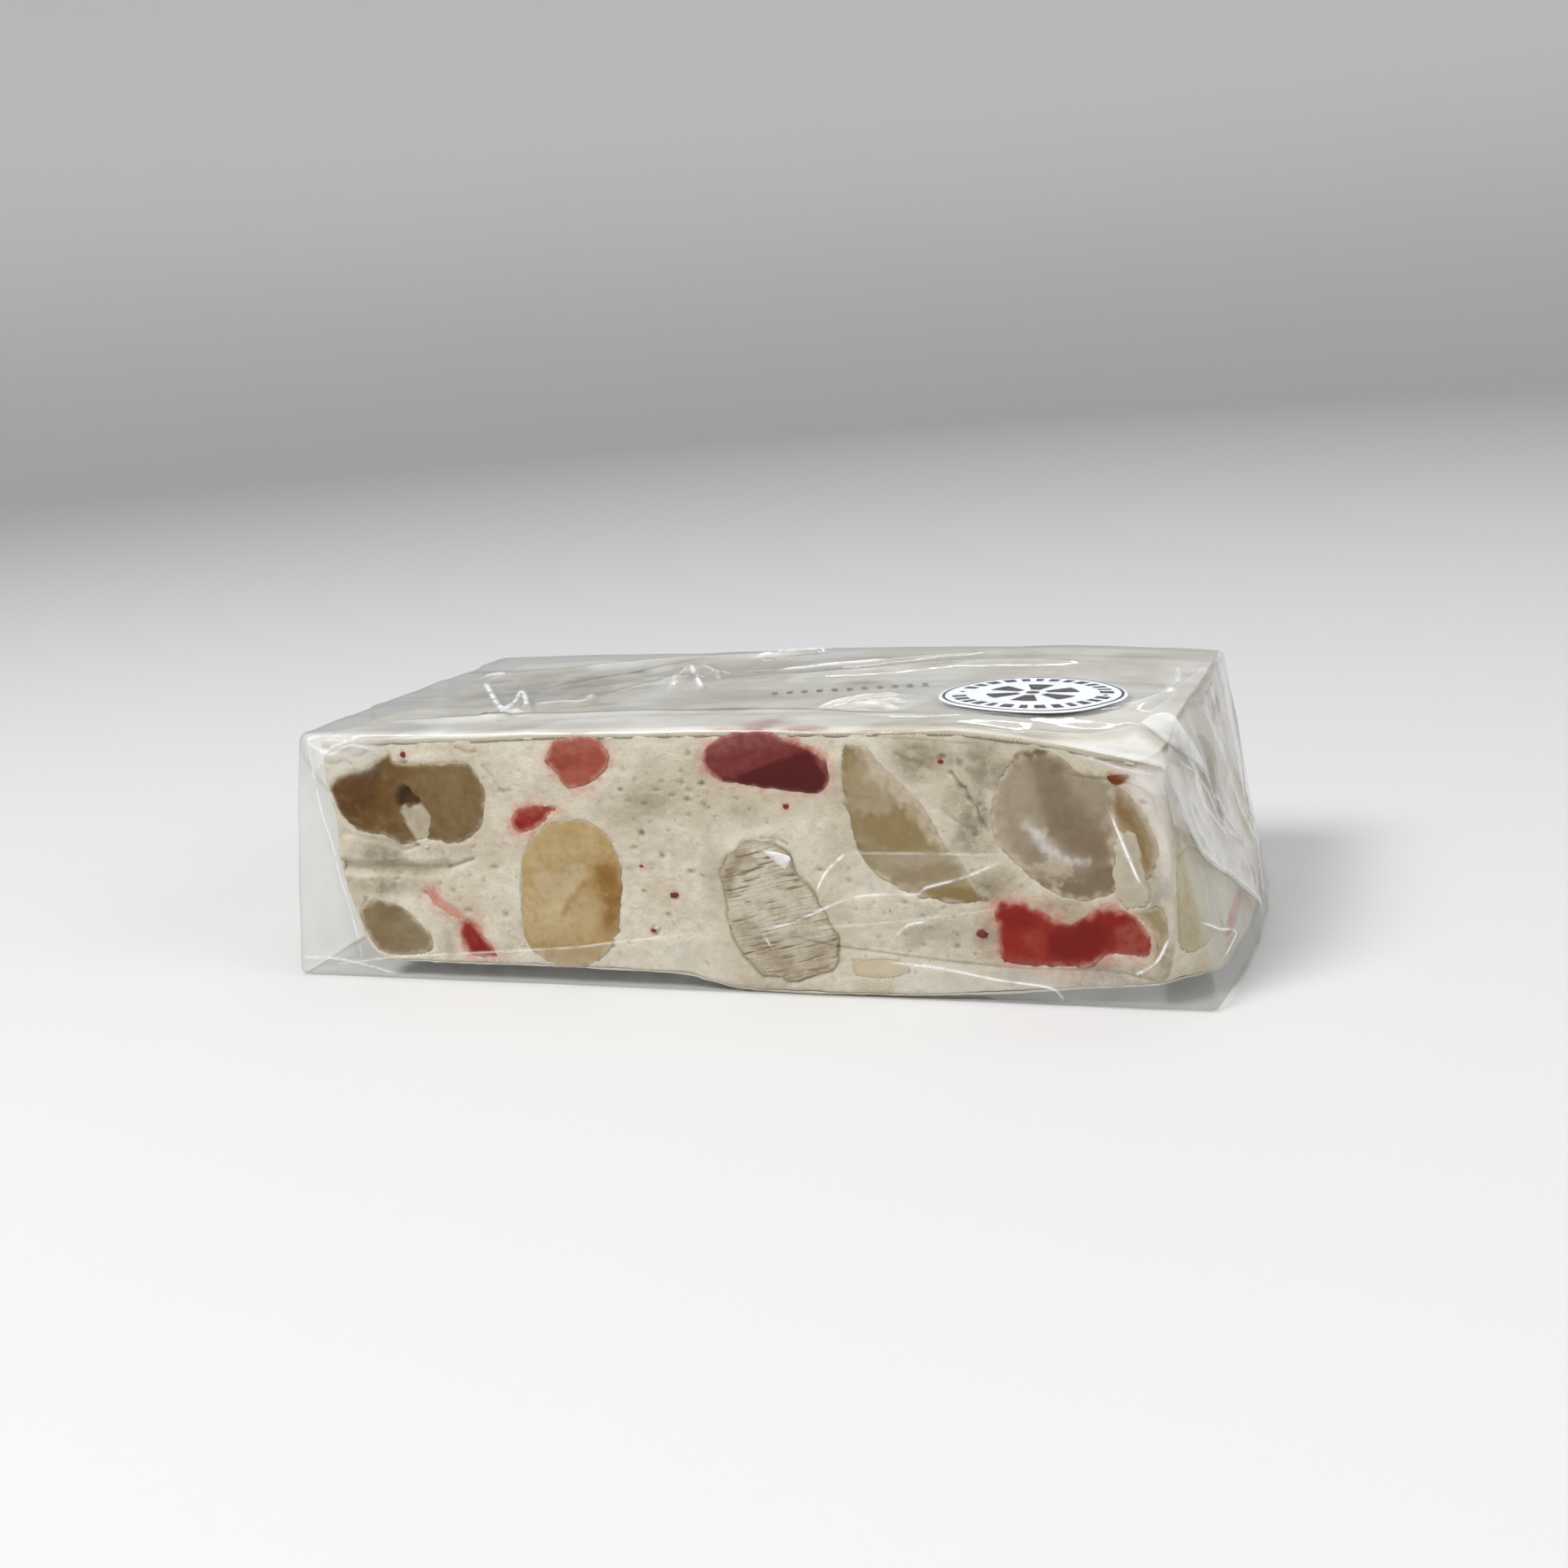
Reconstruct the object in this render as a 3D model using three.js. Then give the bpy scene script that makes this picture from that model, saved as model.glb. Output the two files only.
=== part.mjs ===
// A nougat bar sealed in a clear film wrap, lying flat on its broad side.
// Millimetres, +Z up. X runs along the bar and Y from its front cut side to its back one.
// The origin is the middle of the flat underside, so the bar stands on the plane Z = 0.
import * as THREE from 'three';
import { mergeVertices } from 'three/addons/utils/BufferGeometryUtils.js';

const { lerp, smoothstep } = THREE.MathUtils;

// The wrap, measured over the film.
const FOOT_LENGTH = 116;
const FOOT_WIDTH = 56;
const WRAP_HEIGHT = 31.6;
const EDGE_RADIUS = 0.9;

// The film runs past the nougat at both ends, and leans in from the foot to the top.
const LEFT_TOP_INSET = 4.4;
const RIGHT_TOP_INSET = 7;
const RIGHT_FOOT_CORNER_PULL = 2.4;

// The cut sides are a little fuller at mid-height than at the top and the foot.
const SIDE_BELLY = 0.5;

// The soft top sinks towards its right end, most of all at the front corner there, and falls
// a little behind its front edge.
const RIGHT_DROOP = 1.7;
const CORNER_DROOP = 4.5;
const RIGHT_DROOP_START_X = 27;
const CORNER_DROOP_DEPTH = 16;
const LEFT_DROOP = 0.5;
const CROWN_FALL = 0.6;
const CROWN_FALL_START_Y = -27;
const CROWN_FALL_END_Y = 10;

// Each end is folded like a parcel: a pointed lower flap, and a pointed upper flap over it.
const UPPER_FLAP_RELIEF = 0.9;
const LOWER_FLAP_RELIEF = 0.5;
const FLAP_EDGE_SOFTNESS = 2.2;
const FLAP_TIP_HEIGHT = 0.6;

// How finely the wrap's skin is divided, along X, Y and Z, between its rounded edges.
const CELLS_ALONG = 38;
const CELLS_ACROSS = 18;
const CELLS_UP = 10;
const EDGE_STEPS = [0, Math.SQRT2 - 1, 1];

// The round paper label on the top, and its clearance over the film.
const LABEL_RADIUS = 10.9;
const LABEL_THICKNESS = 0.2;
const LABEL_CLEARANCE = 0.3;
const LABEL_X = 33.1;
const LABEL_Y = -8.2;
const LABEL_RINGS = 4;
const LABEL_SIDES = 56;

const FILM_FINISH = { color: 0xd6cfc0, roughness: 0.16, metalness: 0 };
const LABEL_FINISH = { color: 0xe9eff8, roughness: 0.35, metalness: 0 };

// Positions of the grid lines along one axis of the plain box, closer together at its edges.
function gridLines(halfSize, flatCells) {
  const flatHalf = halfSize - EDGE_RADIUS;
  const lines = EDGE_STEPS.map((step) => -flatHalf - EDGE_RADIUS * step).reverse();
  for (let cell = 1; cell < flatCells; cell += 1) {
    lines.push(lerp(-flatHalf, flatHalf, cell / flatCells));
  }
  return lines.concat(EDGE_STEPS.map((step) => flatHalf + EDGE_RADIUS * step));
}

// Rounds the edges and corners of a plain box, given its half sizes.
function roundEdges(point, halfSizes) {
  const flat = halfSizes.clone().subScalar(EDGE_RADIUS);
  const core = point.clone().clamp(flat.clone().negate(), flat);
  const outward = point.clone().sub(core);
  return core.add(outward.setLength(EDGE_RADIUS));
}

// How far the top sinks below the full height over a place on the bar.
function topDroop(x, y) {
  const halfWidth = FOOT_WIDTH / 2;
  const rightward = Math.max(0, (x - RIGHT_DROOP_START_X) / (FOOT_LENGTH / 2 - RIGHT_DROOP_START_X));
  const frontward = smoothstep(-y, halfWidth - CORNER_DROOP_DEPTH, halfWidth);
  const leftward = smoothstep(-x, 0, FOOT_LENGTH / 2);
  const crown = CROWN_FALL * smoothstep(y, CROWN_FALL_START_Y, CROWN_FALL_END_Y);
  return rightward ** 1.5 * (RIGHT_DROOP + CORNER_DROOP * frontward) + LEFT_DROOP * leftward + crown;
}

// How far the folded flaps stand proud of an end, at a height and a place across it.
function flapRelief(y, height) {
  const reach = FOOT_WIDTH / 2;
  const upperHalfWidth = reach * (height - FLAP_TIP_HEIGHT);
  const lowerHalfWidth = reach * (1 - height);
  const upper = smoothstep(upperHalfWidth - Math.abs(y), 0, FLAP_EDGE_SOFTNESS);
  const lower = smoothstep(lowerHalfWidth - Math.abs(y), 0, FLAP_EDGE_SOFTNESS);
  return UPPER_FLAP_RELIEF * upper + LOWER_FLAP_RELIEF * lower * (1 - upper);
}

// The X of an end's film, at a height from 0 to 1 and a place across.
function endPlace(side, y, height) {
  const acrossShare = Math.abs(y) / (FOOT_WIDTH / 2);
  const inset = side > 0 ? RIGHT_TOP_INSET : LEFT_TOP_INSET;
  const cornerPull = side > 0 ? RIGHT_FOOT_CORNER_PULL * acrossShare ** 2 * (1 - height) : 0;
  const proud = flapRelief(y, height) * height;
  return side * (FOOT_LENGTH / 2 - inset * height - cornerPull + proud);
}

// Moves a point of the rounded box to its place on the wrap.
function shapeWrap(point, halfSizes) {
  const height = point.z / halfSizes.z / 2 + 0.5;
  const alongShare = point.x / halfSizes.x / 2 + 0.5;
  const belly = SIDE_BELLY * (4 * height * (1 - height) - 1);
  const y = point.y * (1 + belly / halfSizes.y);
  const x = lerp(endPlace(-1, y, height), endPlace(1, y, height), alongShare);
  const z = (WRAP_HEIGHT - topDroop(x, y)) * height;
  return new THREE.Vector3(x, y, z);
}

// The sealed wrap with the bar in it: one closed skin, from a divided box.
function filmWrap() {
  const halfSizes = new THREE.Vector3(FOOT_LENGTH, FOOT_WIDTH, WRAP_HEIGHT).multiplyScalar(0.5);
  const lines = [
    gridLines(halfSizes.x, CELLS_ALONG),
    gridLines(halfSizes.y, CELLS_ACROSS),
    gridLines(halfSizes.z, CELLS_UP),
  ];
  const cells = lines.map((axisLines) => axisLines.length - 1);
  const box = new THREE.BoxGeometry(1, 1, 1, ...cells);
  box.deleteAttribute('normal');
  box.deleteAttribute('uv');
  const skin = mergeVertices(box);
  const places = skin.attributes.position;
  const point = new THREE.Vector3();
  for (let index = 0; index < places.count; index += 1) {
    point.fromBufferAttribute(places, index);
    const numbers = point.toArray().map((share, axis) => Math.round((share + 0.5) * cells[axis]));
    point.fromArray(numbers.map((line, axis) => lines[axis][line]));
    const placed = shapeWrap(roundEdges(point, halfSizes), halfSizes);
    places.setXYZ(index, placed.x, placed.y, placed.z);
  }
  return skin;
}

// The round label: a thin disc that follows the film under it.
function roundLabel() {
  const profile = [];
  for (let ring = 0; ring <= LABEL_RINGS; ring += 1) {
    profile.push(new THREE.Vector2((LABEL_RADIUS * ring) / LABEL_RINGS, 0));
  }
  for (let ring = LABEL_RINGS; ring >= 0; ring -= 1) {
    profile.push(new THREE.Vector2((LABEL_RADIUS * ring) / LABEL_RINGS, LABEL_THICKNESS));
  }
  const disc = new THREE.LatheGeometry(profile, LABEL_SIDES);
  disc.rotateX(Math.PI / 2);
  disc.deleteAttribute('normal');
  disc.deleteAttribute('uv');
  const label = mergeVertices(disc);
  const places = label.attributes.position;
  for (let index = 0; index < places.count; index += 1) {
    const x = places.getX(index) + LABEL_X;
    const y = places.getY(index) + LABEL_Y;
    const film = WRAP_HEIGHT - topDroop(x, y);
    places.setXYZ(index, x, y, film + LABEL_CLEARANCE + places.getZ(index));
  }
  return label;
}

function addPiece(group, name, geometry, finish) {
  geometry.computeVertexNormals();
  const piece = new THREE.Mesh(geometry, new THREE.MeshStandardMaterial(finish));
  piece.name = name;
  group.add(piece);
}

const group = new THREE.Group();
group.name = 'wrapped_nougat_bar';
addPiece(group, 'film_wrap', filmWrap(), FILM_FINISH);
addPiece(group, 'round_label', roundLabel(), LABEL_FINISH);

export default group;
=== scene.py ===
"""The looks of a nougat bar in clear film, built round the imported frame.

Shapes are worked out in millimetres and turned into metres where a mesh is made. X runs along
the bar, Y from its front cut side to its back one, and Z is up from the flat underside.
"""
import sys
import logging
import math
from dataclasses import dataclass, field
from enum import Enum
from itertools import product

import bpy
import numpy as np
from mathutils import Matrix, Vector
from mathutils.geometry import delaunay_2d_cdt


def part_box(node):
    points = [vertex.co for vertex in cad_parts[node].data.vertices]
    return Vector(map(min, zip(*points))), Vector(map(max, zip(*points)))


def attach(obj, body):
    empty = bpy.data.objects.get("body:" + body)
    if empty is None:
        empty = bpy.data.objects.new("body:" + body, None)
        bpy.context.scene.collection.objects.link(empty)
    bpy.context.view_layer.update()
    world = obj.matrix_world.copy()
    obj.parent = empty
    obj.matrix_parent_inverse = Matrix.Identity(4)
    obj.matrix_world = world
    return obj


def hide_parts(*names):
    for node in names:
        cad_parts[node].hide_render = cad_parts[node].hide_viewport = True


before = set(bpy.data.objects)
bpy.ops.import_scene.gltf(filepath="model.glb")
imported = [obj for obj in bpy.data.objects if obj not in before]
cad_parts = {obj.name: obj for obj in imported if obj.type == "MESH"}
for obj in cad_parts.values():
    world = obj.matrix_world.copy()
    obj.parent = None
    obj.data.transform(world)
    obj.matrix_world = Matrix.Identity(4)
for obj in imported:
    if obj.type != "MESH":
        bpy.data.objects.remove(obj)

MM = 0.001
TINY = 1e-7
BODY = "root"
LOG = logging.getLogger("nougat")

Array = np.ndarray
Pair = tuple[float, float]
Triple = tuple[float, float, float]
Colour = Triple
Blotches = tuple[tuple[float, float, float, float, float], ...]


# ---------------------------------------------------------------- numbers and curves


def ease(value: Array, low: float, high: float) -> Array:
    """Return a smooth step from 0 at low to 1 at high."""
    share = np.clip((value - low) / (high - low), 0.0, 1.0)
    return share * share * (3.0 - 2.0 * share)


def through(points: Array, closed: bool, steps: int) -> Array:
    """Draw a smooth curve through points.

    Args:
        points: the points, one row each.
        closed: whether the last point joins the first.
        steps: how many steps each span is cut into.

    Returns:
        The curve's points, one row each.
    """
    if closed:
        padded = np.vstack([points[-1:], points, points[:2]])
    else:
        padded = np.vstack([2 * points[:1] - points[1:2], points, 2 * points[-1:] - points[-2:-1]])
    share = (np.arange(steps) / steps)[:, None]
    spans = []
    for index in range(len(padded) - 3):
        before, start, end, after = padded[index:index + 4]
        bend = 2 * before - 5 * start + 4 * end - after
        twist = 3 * (start - end) + after - before
        spans.append(start + 0.5 * share * (end - before + share * (bend + share * twist)))
    if not closed:
        spans.append(points[-1:])
    return np.vstack(spans)


@dataclass(frozen=True)
class Profile:
    """A smooth graph through a few points, read off at any place along it."""

    points: tuple[Pair, ...]

    def at(self, places: Array) -> Array:
        """Return the graph's height at each place."""
        curve = through(np.array(self.points), closed=False, steps=8)
        return np.interp(places, curve[:, 0], curve[:, 1])


class Grain:
    """Smooth seeded noise over places given in millimetres."""

    TABLE = 256
    GAIN = 1.6

    def __init__(self, seed: int) -> None:
        """Draw the noise's table of slopes from a seed.

        Args:
            seed: the number that the table is drawn from.
        """
        random = np.random.default_rng(seed)
        self.order = random.permutation(self.TABLE)
        slopes = random.normal(size=(self.TABLE, 3))
        self.slopes = slopes / np.linalg.norm(slopes, axis=1, keepdims=True)

    def at(self, places: Array, size: float | Array) -> Array:
        """Read the noise.

        Args:
            places: points in millimetres, one row each.
            size: the width of its lumps, one number or one for each axis.

        Returns:
            One number for each point, mostly between -1 and 1.
        """
        scaled = places / size
        cell = np.floor(scaled).astype(int)
        inside = scaled - cell
        eased = inside ** 3 * (inside * (inside * 6 - 15) + 10)
        total = np.zeros(len(places))
        for corner in product((0, 1), repeat=3):
            where = cell + corner
            pick = self.order[where[:, 0] % self.TABLE]
            pick = self.order[(pick + where[:, 1]) % self.TABLE]
            pick = self.order[(pick + where[:, 2]) % self.TABLE]
            share = np.where(corner, eased, 1 - eased).prod(axis=1)
            total += share * (self.slopes[pick] * (inside - corner)).sum(axis=1)
        return total * self.GAIN

    def layered(self, places: Array, size: float | Array, layers: int) -> Array:
        """Add layers of noise, each half as wide and half as strong as the last.

        Args:
            places: points in millimetres, one row each.
            size: the width of the widest lumps.
            layers: how many layers there are.

        Returns:
            One number for each point.
        """
        scale = np.asarray(size, dtype=float)
        return sum(self.at(places, scale / 2 ** layer) / 2 ** layer for layer in range(layers))


def depth_inside(loop: Array, places: Array, reach: float) -> Array:
    """Measure how far places lie inside a closed outline.

    Args:
        loop: the outline's points, one row each.
        places: the places in the same plane.
        reach: distances outside are cut off at this.

    Returns:
        The distance to the outline for each place, negative outside it.
    """
    result = np.full(len(places), -reach)
    low, high = loop.min(axis=0) - reach, loop.max(axis=0) + reach
    near = np.flatnonzero(((places > low) & (places < high)).all(axis=1))
    if not len(near):
        return result
    end = np.roll(loop, -1, axis=0)
    span = end - loop
    offset = places[near][:, None] - loop[None]
    share = np.clip((offset * span).sum(-1) / np.maximum((span * span).sum(-1), 1e-12), 0, 1)
    gap = np.linalg.norm(offset - share[..., None] * span, axis=-1).min(axis=1)
    tall = places[near][:, 1:2]
    spans_it = (loop[None, :, 1] > tall) != (end[None, :, 1] > tall)
    rise = np.where(span[:, 1] == 0, 1e-12, span[:, 1])
    crossing = loop[None, :, 0] + (tall - loop[None, :, 1]) / rise * span[None, :, 0]
    inside = (spans_it & (places[near][:, 0:1] < crossing)).sum(axis=1) % 2 == 1
    result[near] = np.where(inside, gap, -np.minimum(gap, reach))
    return result


def from_line(start: Array, end: Array, places: Array) -> tuple[Array, Array]:
    """Measure places against a straight line.

    Args:
        start: the line's first point.
        end: its last point.
        places: the places, one row each.

    Returns:
        Each place's distance from the line, and its share of the way along.
    """
    span = end - start
    share = np.clip(((places - start) @ span) / (span @ span), 0, 1)
    return np.linalg.norm(places - start - share[:, None] * span, axis=1), share


# ---------------------------------------------------------------- meshes


@dataclass
class Skin:
    """The points and triangles of one piece, in millimetres, with named facts for each point."""

    points: Array
    triangles: Array
    facts: dict[str, Array] = field(default_factory=dict)

    def make(self, name: str) -> bpy.types.Object:
        """Turn the skin into a smooth mesh object.

        Args:
            name: the piece's name.

        Returns:
            The new object, in the scene.
        """
        mesh = bpy.data.meshes.new(name)
        mesh.vertices.add(len(self.points))
        mesh.vertices.foreach_set("co", (self.points * MM).astype(np.float32).ravel())
        mesh.loops.add(self.triangles.size)
        mesh.loops.foreach_set("vertex_index", self.triangles.astype(np.int32).ravel())
        mesh.polygons.add(len(self.triangles))
        mesh.polygons.foreach_set("loop_start", np.arange(0, self.triangles.size, 3, dtype=np.int32))
        for fact, values in self.facts.items():
            layer = mesh.attributes.new(fact, "FLOAT", "POINT")
            layer.data.foreach_set("value", values.astype(np.float32))
        mesh.update(calc_edges=True)
        mesh.validate()
        mesh.shade_smooth()
        piece = bpy.data.objects.new(name, mesh)
        bpy.context.scene.collection.objects.link(piece)
        return piece


def join(skins: list[Skin]) -> Skin:
    """Put several skins into one, keeping the facts of the first one's names.

    Args:
        skins: the skins, each with the facts that the first one has.

    Returns:
        The joined skin.
    """
    starts = np.cumsum([0] + [len(skin.points) for skin in skins[:-1]])
    return Skin(
        np.vstack([skin.points for skin in skins]),
        np.vstack([skin.triangles + start for skin, start in zip(skins, starts)]),
        {fact: np.concatenate([skin.facts[fact] for skin in skins]) for fact in skins[0].facts},
    )


def triangulate(places: Array, outline: int = 0) -> Array:
    """Join flat places into triangles that turn anticlockwise.

    Args:
        places: the places, one row each.
        outline: how many of the first places bound the triangles, or 0 for none.

    Returns:
        The triangles, three place numbers a row.
    """
    rows = [tuple(row) for row in places.tolist()]
    bounds = [list(range(outline))] if outline else []
    _, _, faces, sources, _, _ = delaunay_2d_cdt(rows, [], bounds, len(bounds), TINY)
    first = np.array([source[0] if source else 0 for source in sources])
    return first[np.array(faces)]


def lifted(places: Array) -> Array:
    """Return flat places as points at a height of 0."""
    return np.column_stack([places, np.zeros(len(places))])


def numbered(rings: list[Array]) -> list[Array]:
    """Number the points of rings that are stacked in order."""
    ends = np.cumsum([0] + [len(ring) for ring in rings])
    return [np.arange(low, high) for low, high in zip(ends, ends[1:])]


def walls(rings: list[Array]) -> Array:
    """Join closed rings of points, each to the next one.

    Args:
        rings: each ring's point numbers, of the same count or a single one where they meet in a tip.

    Returns:
        The triangles, three point numbers a row.
    """
    triangles = []
    for pair in zip(rings, rings[1:]):
        near, far = np.broadcast_arrays(*pair)
        after, beyond = np.roll(near, -1), np.roll(far, -1)
        both = np.vstack([np.column_stack([near, far, after]), np.column_stack([after, far, beyond])])
        triangles.append(both[(both[:, 0] != both[:, 2]) & (both[:, 1] != both[:, 2])])
    return np.vstack(triangles)


def hex_grid(half: Array, spacing: float) -> Array:
    """Lay an even triangular grid of places over a rectangle.

    Args:
        half: the rectangle's half sizes.
        spacing: the distance between neighbours.

    Returns:
        The places, one row each.
    """
    rows = max(2, round(2 * half[1] / (spacing * math.sqrt(3) / 2)) + 1)
    count = max(2, round(2 * half[0] / spacing) + 1)
    step = 2 * half[0] / (count - 1)
    grid = []
    for number, height in enumerate(np.linspace(-half[1], half[1], rows)):
        shift = step / 2 if number % 2 else 0.0
        line = np.linspace(-half[0], half[0], count)[: count - (number % 2)] + shift
        grid.append(np.column_stack([line, np.full(len(line), height)]))
    return np.vstack(grid)


@dataclass
class BoxSkin:
    """A box's six sides, divided into triangles that meet along its edges.

    Args:
        half: the box's half sizes.
        edge_step: the spacing of points along the edges.
        edge_rows: how far in from each edge its extra rows of points lie.
        spacing: the spacing of points over each side, by (axis, sign).
        extra: further points over a side, by (axis, sign), in that side's own plane.
    """

    half: Array
    edge_step: float
    edge_rows: tuple[float, ...]
    spacing: dict[tuple[int, int], float]
    extra: dict[tuple[int, int], Array] = field(default_factory=dict)

    def side_places(self, axis: int, sign: int) -> Array:
        """Choose the places over one side.

        Args:
            axis: 0, 1 or 2 for the axis that the side faces along.
            sign: -1 or 1 for the end of that axis.

        Returns:
            The places in the side's plane, one row each.
        """
        half = self.half[[(axis + 1) % 3, (axis + 2) % 3]]
        marks = [np.linspace(-size, size, round(2 * size / self.edge_step) + 1) for size in half]
        groups = []
        for row in (0.0, *self.edge_rows):
            for end in (-1, 1):
                across = marks[0][np.abs(marks[0]) <= half[0] - row + 1e-9]
                groups.append(np.column_stack([across, np.full(len(across), end * (half[1] - row))]))
                up = marks[1][np.abs(marks[1]) <= half[1] - row + 1e-9]
                groups.append(np.column_stack([np.full(len(up), end * (half[0] - row)), up]))
        spacing = self.spacing[axis, sign]
        inner = half - max(self.edge_rows) - spacing * 0.5
        extra = self.extra.get((axis, sign))
        fill = hex_grid(inner, spacing)
        if extra is not None and len(extra):
            extra = extra[(np.abs(extra) < half - max(self.edge_rows)).all(axis=1)]
            fill = np.vstack([clear_of(fill, extra, spacing * 0.7), extra])
        places = np.vstack([*groups, fill])
        _, keep = np.unique(np.round(places, 3), axis=0, return_index=True)
        return places[np.sort(keep)]

    def build(self) -> tuple[Array, Array]:
        """Divide all six sides.

        Returns:
            The points on the plain box, and the triangles, facing out.
        """
        points, triangles, start = [], [], 0
        for axis, sign in product(range(3), (-1, 1)):
            places = self.side_places(axis, sign)
            faces = triangulate(places)
            side = np.empty((len(places), 3))
            side[:, axis] = sign * self.half[axis]
            side[:, (axis + 1) % 3] = places[:, 0]
            side[:, (axis + 2) % 3] = places[:, 1]
            points.append(side)
            triangles.append((faces if sign > 0 else faces[:, ::-1]) + start)
            start += len(places)
        everything = np.vstack(points)
        _, first, number = np.unique(
            np.round(everything, 3), axis=0, return_index=True, return_inverse=True
        )
        joined = number.reshape(-1)[np.vstack(triangles)]
        whole = (joined[:, 0] != joined[:, 1]) & (joined[:, 1] != joined[:, 2])
        whole &= joined[:, 0] != joined[:, 2]
        return everything[first], joined[whole]


def clear_of(places: Array, others: Array, gap: float) -> Array:
    """Drop the places that have one of the others in the same or a neighbouring cell.

    Args:
        places: the places to thin.
        others: the places to keep clear of.
        gap: the size of a cell.

    Returns:
        The places that are left.
    """
    taken = {tuple(cell) for cell in np.floor(others / gap).astype(int).tolist()}
    cells = np.floor(places / gap).astype(int).tolist()
    free = [
        not any((cell[0] + across, cell[1] + up) in taken for across, up in product((-1, 0, 1), repeat=2))
        for cell in cells
    ]
    return places[np.array(free)]


def round_box(points: Array, half: Array, radius: float) -> tuple[Array, Array]:
    """Round the edges of a plain box.

    Args:
        points: points on the box.
        half: its half sizes.
        radius: the radius of its edges.

    Returns:
        The rounded points, and the direction in which each one faces.
    """
    flat = half - radius
    core = np.clip(points, -flat, flat)
    outward = points - core
    outward /= np.linalg.norm(outward, axis=1, keepdims=True)
    return core + outward * radius, outward


# ---------------------------------------------------------------- material recipes


# How much light a cut side gets, and how much grey the film's gloss lays over it.
FRONT_LIGHT = 1.02
GLARE = 0.018


def linear(colour: Colour) -> tuple[float, float, float, float]:
    """Turn a colour of 0 to 255 a channel into a surface colour."""
    values = [part / 255 / 12.92 if part <= 10 else ((part / 255 + 0.055) / 1.055) ** 2.4 for part in colour]
    return values[0], values[1], values[2], 1.0


def wrapped(colour: Colour) -> tuple[float, float, float, float]:
    """Work out the surface colour that looks like this one on a cut side, in its light and under film."""
    values = [min(max((part - GLARE) / FRONT_LIGHT, 0.002), 0.97) for part in linear(colour)[:3]]
    return values[0], values[1], values[2], 1.0


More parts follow.
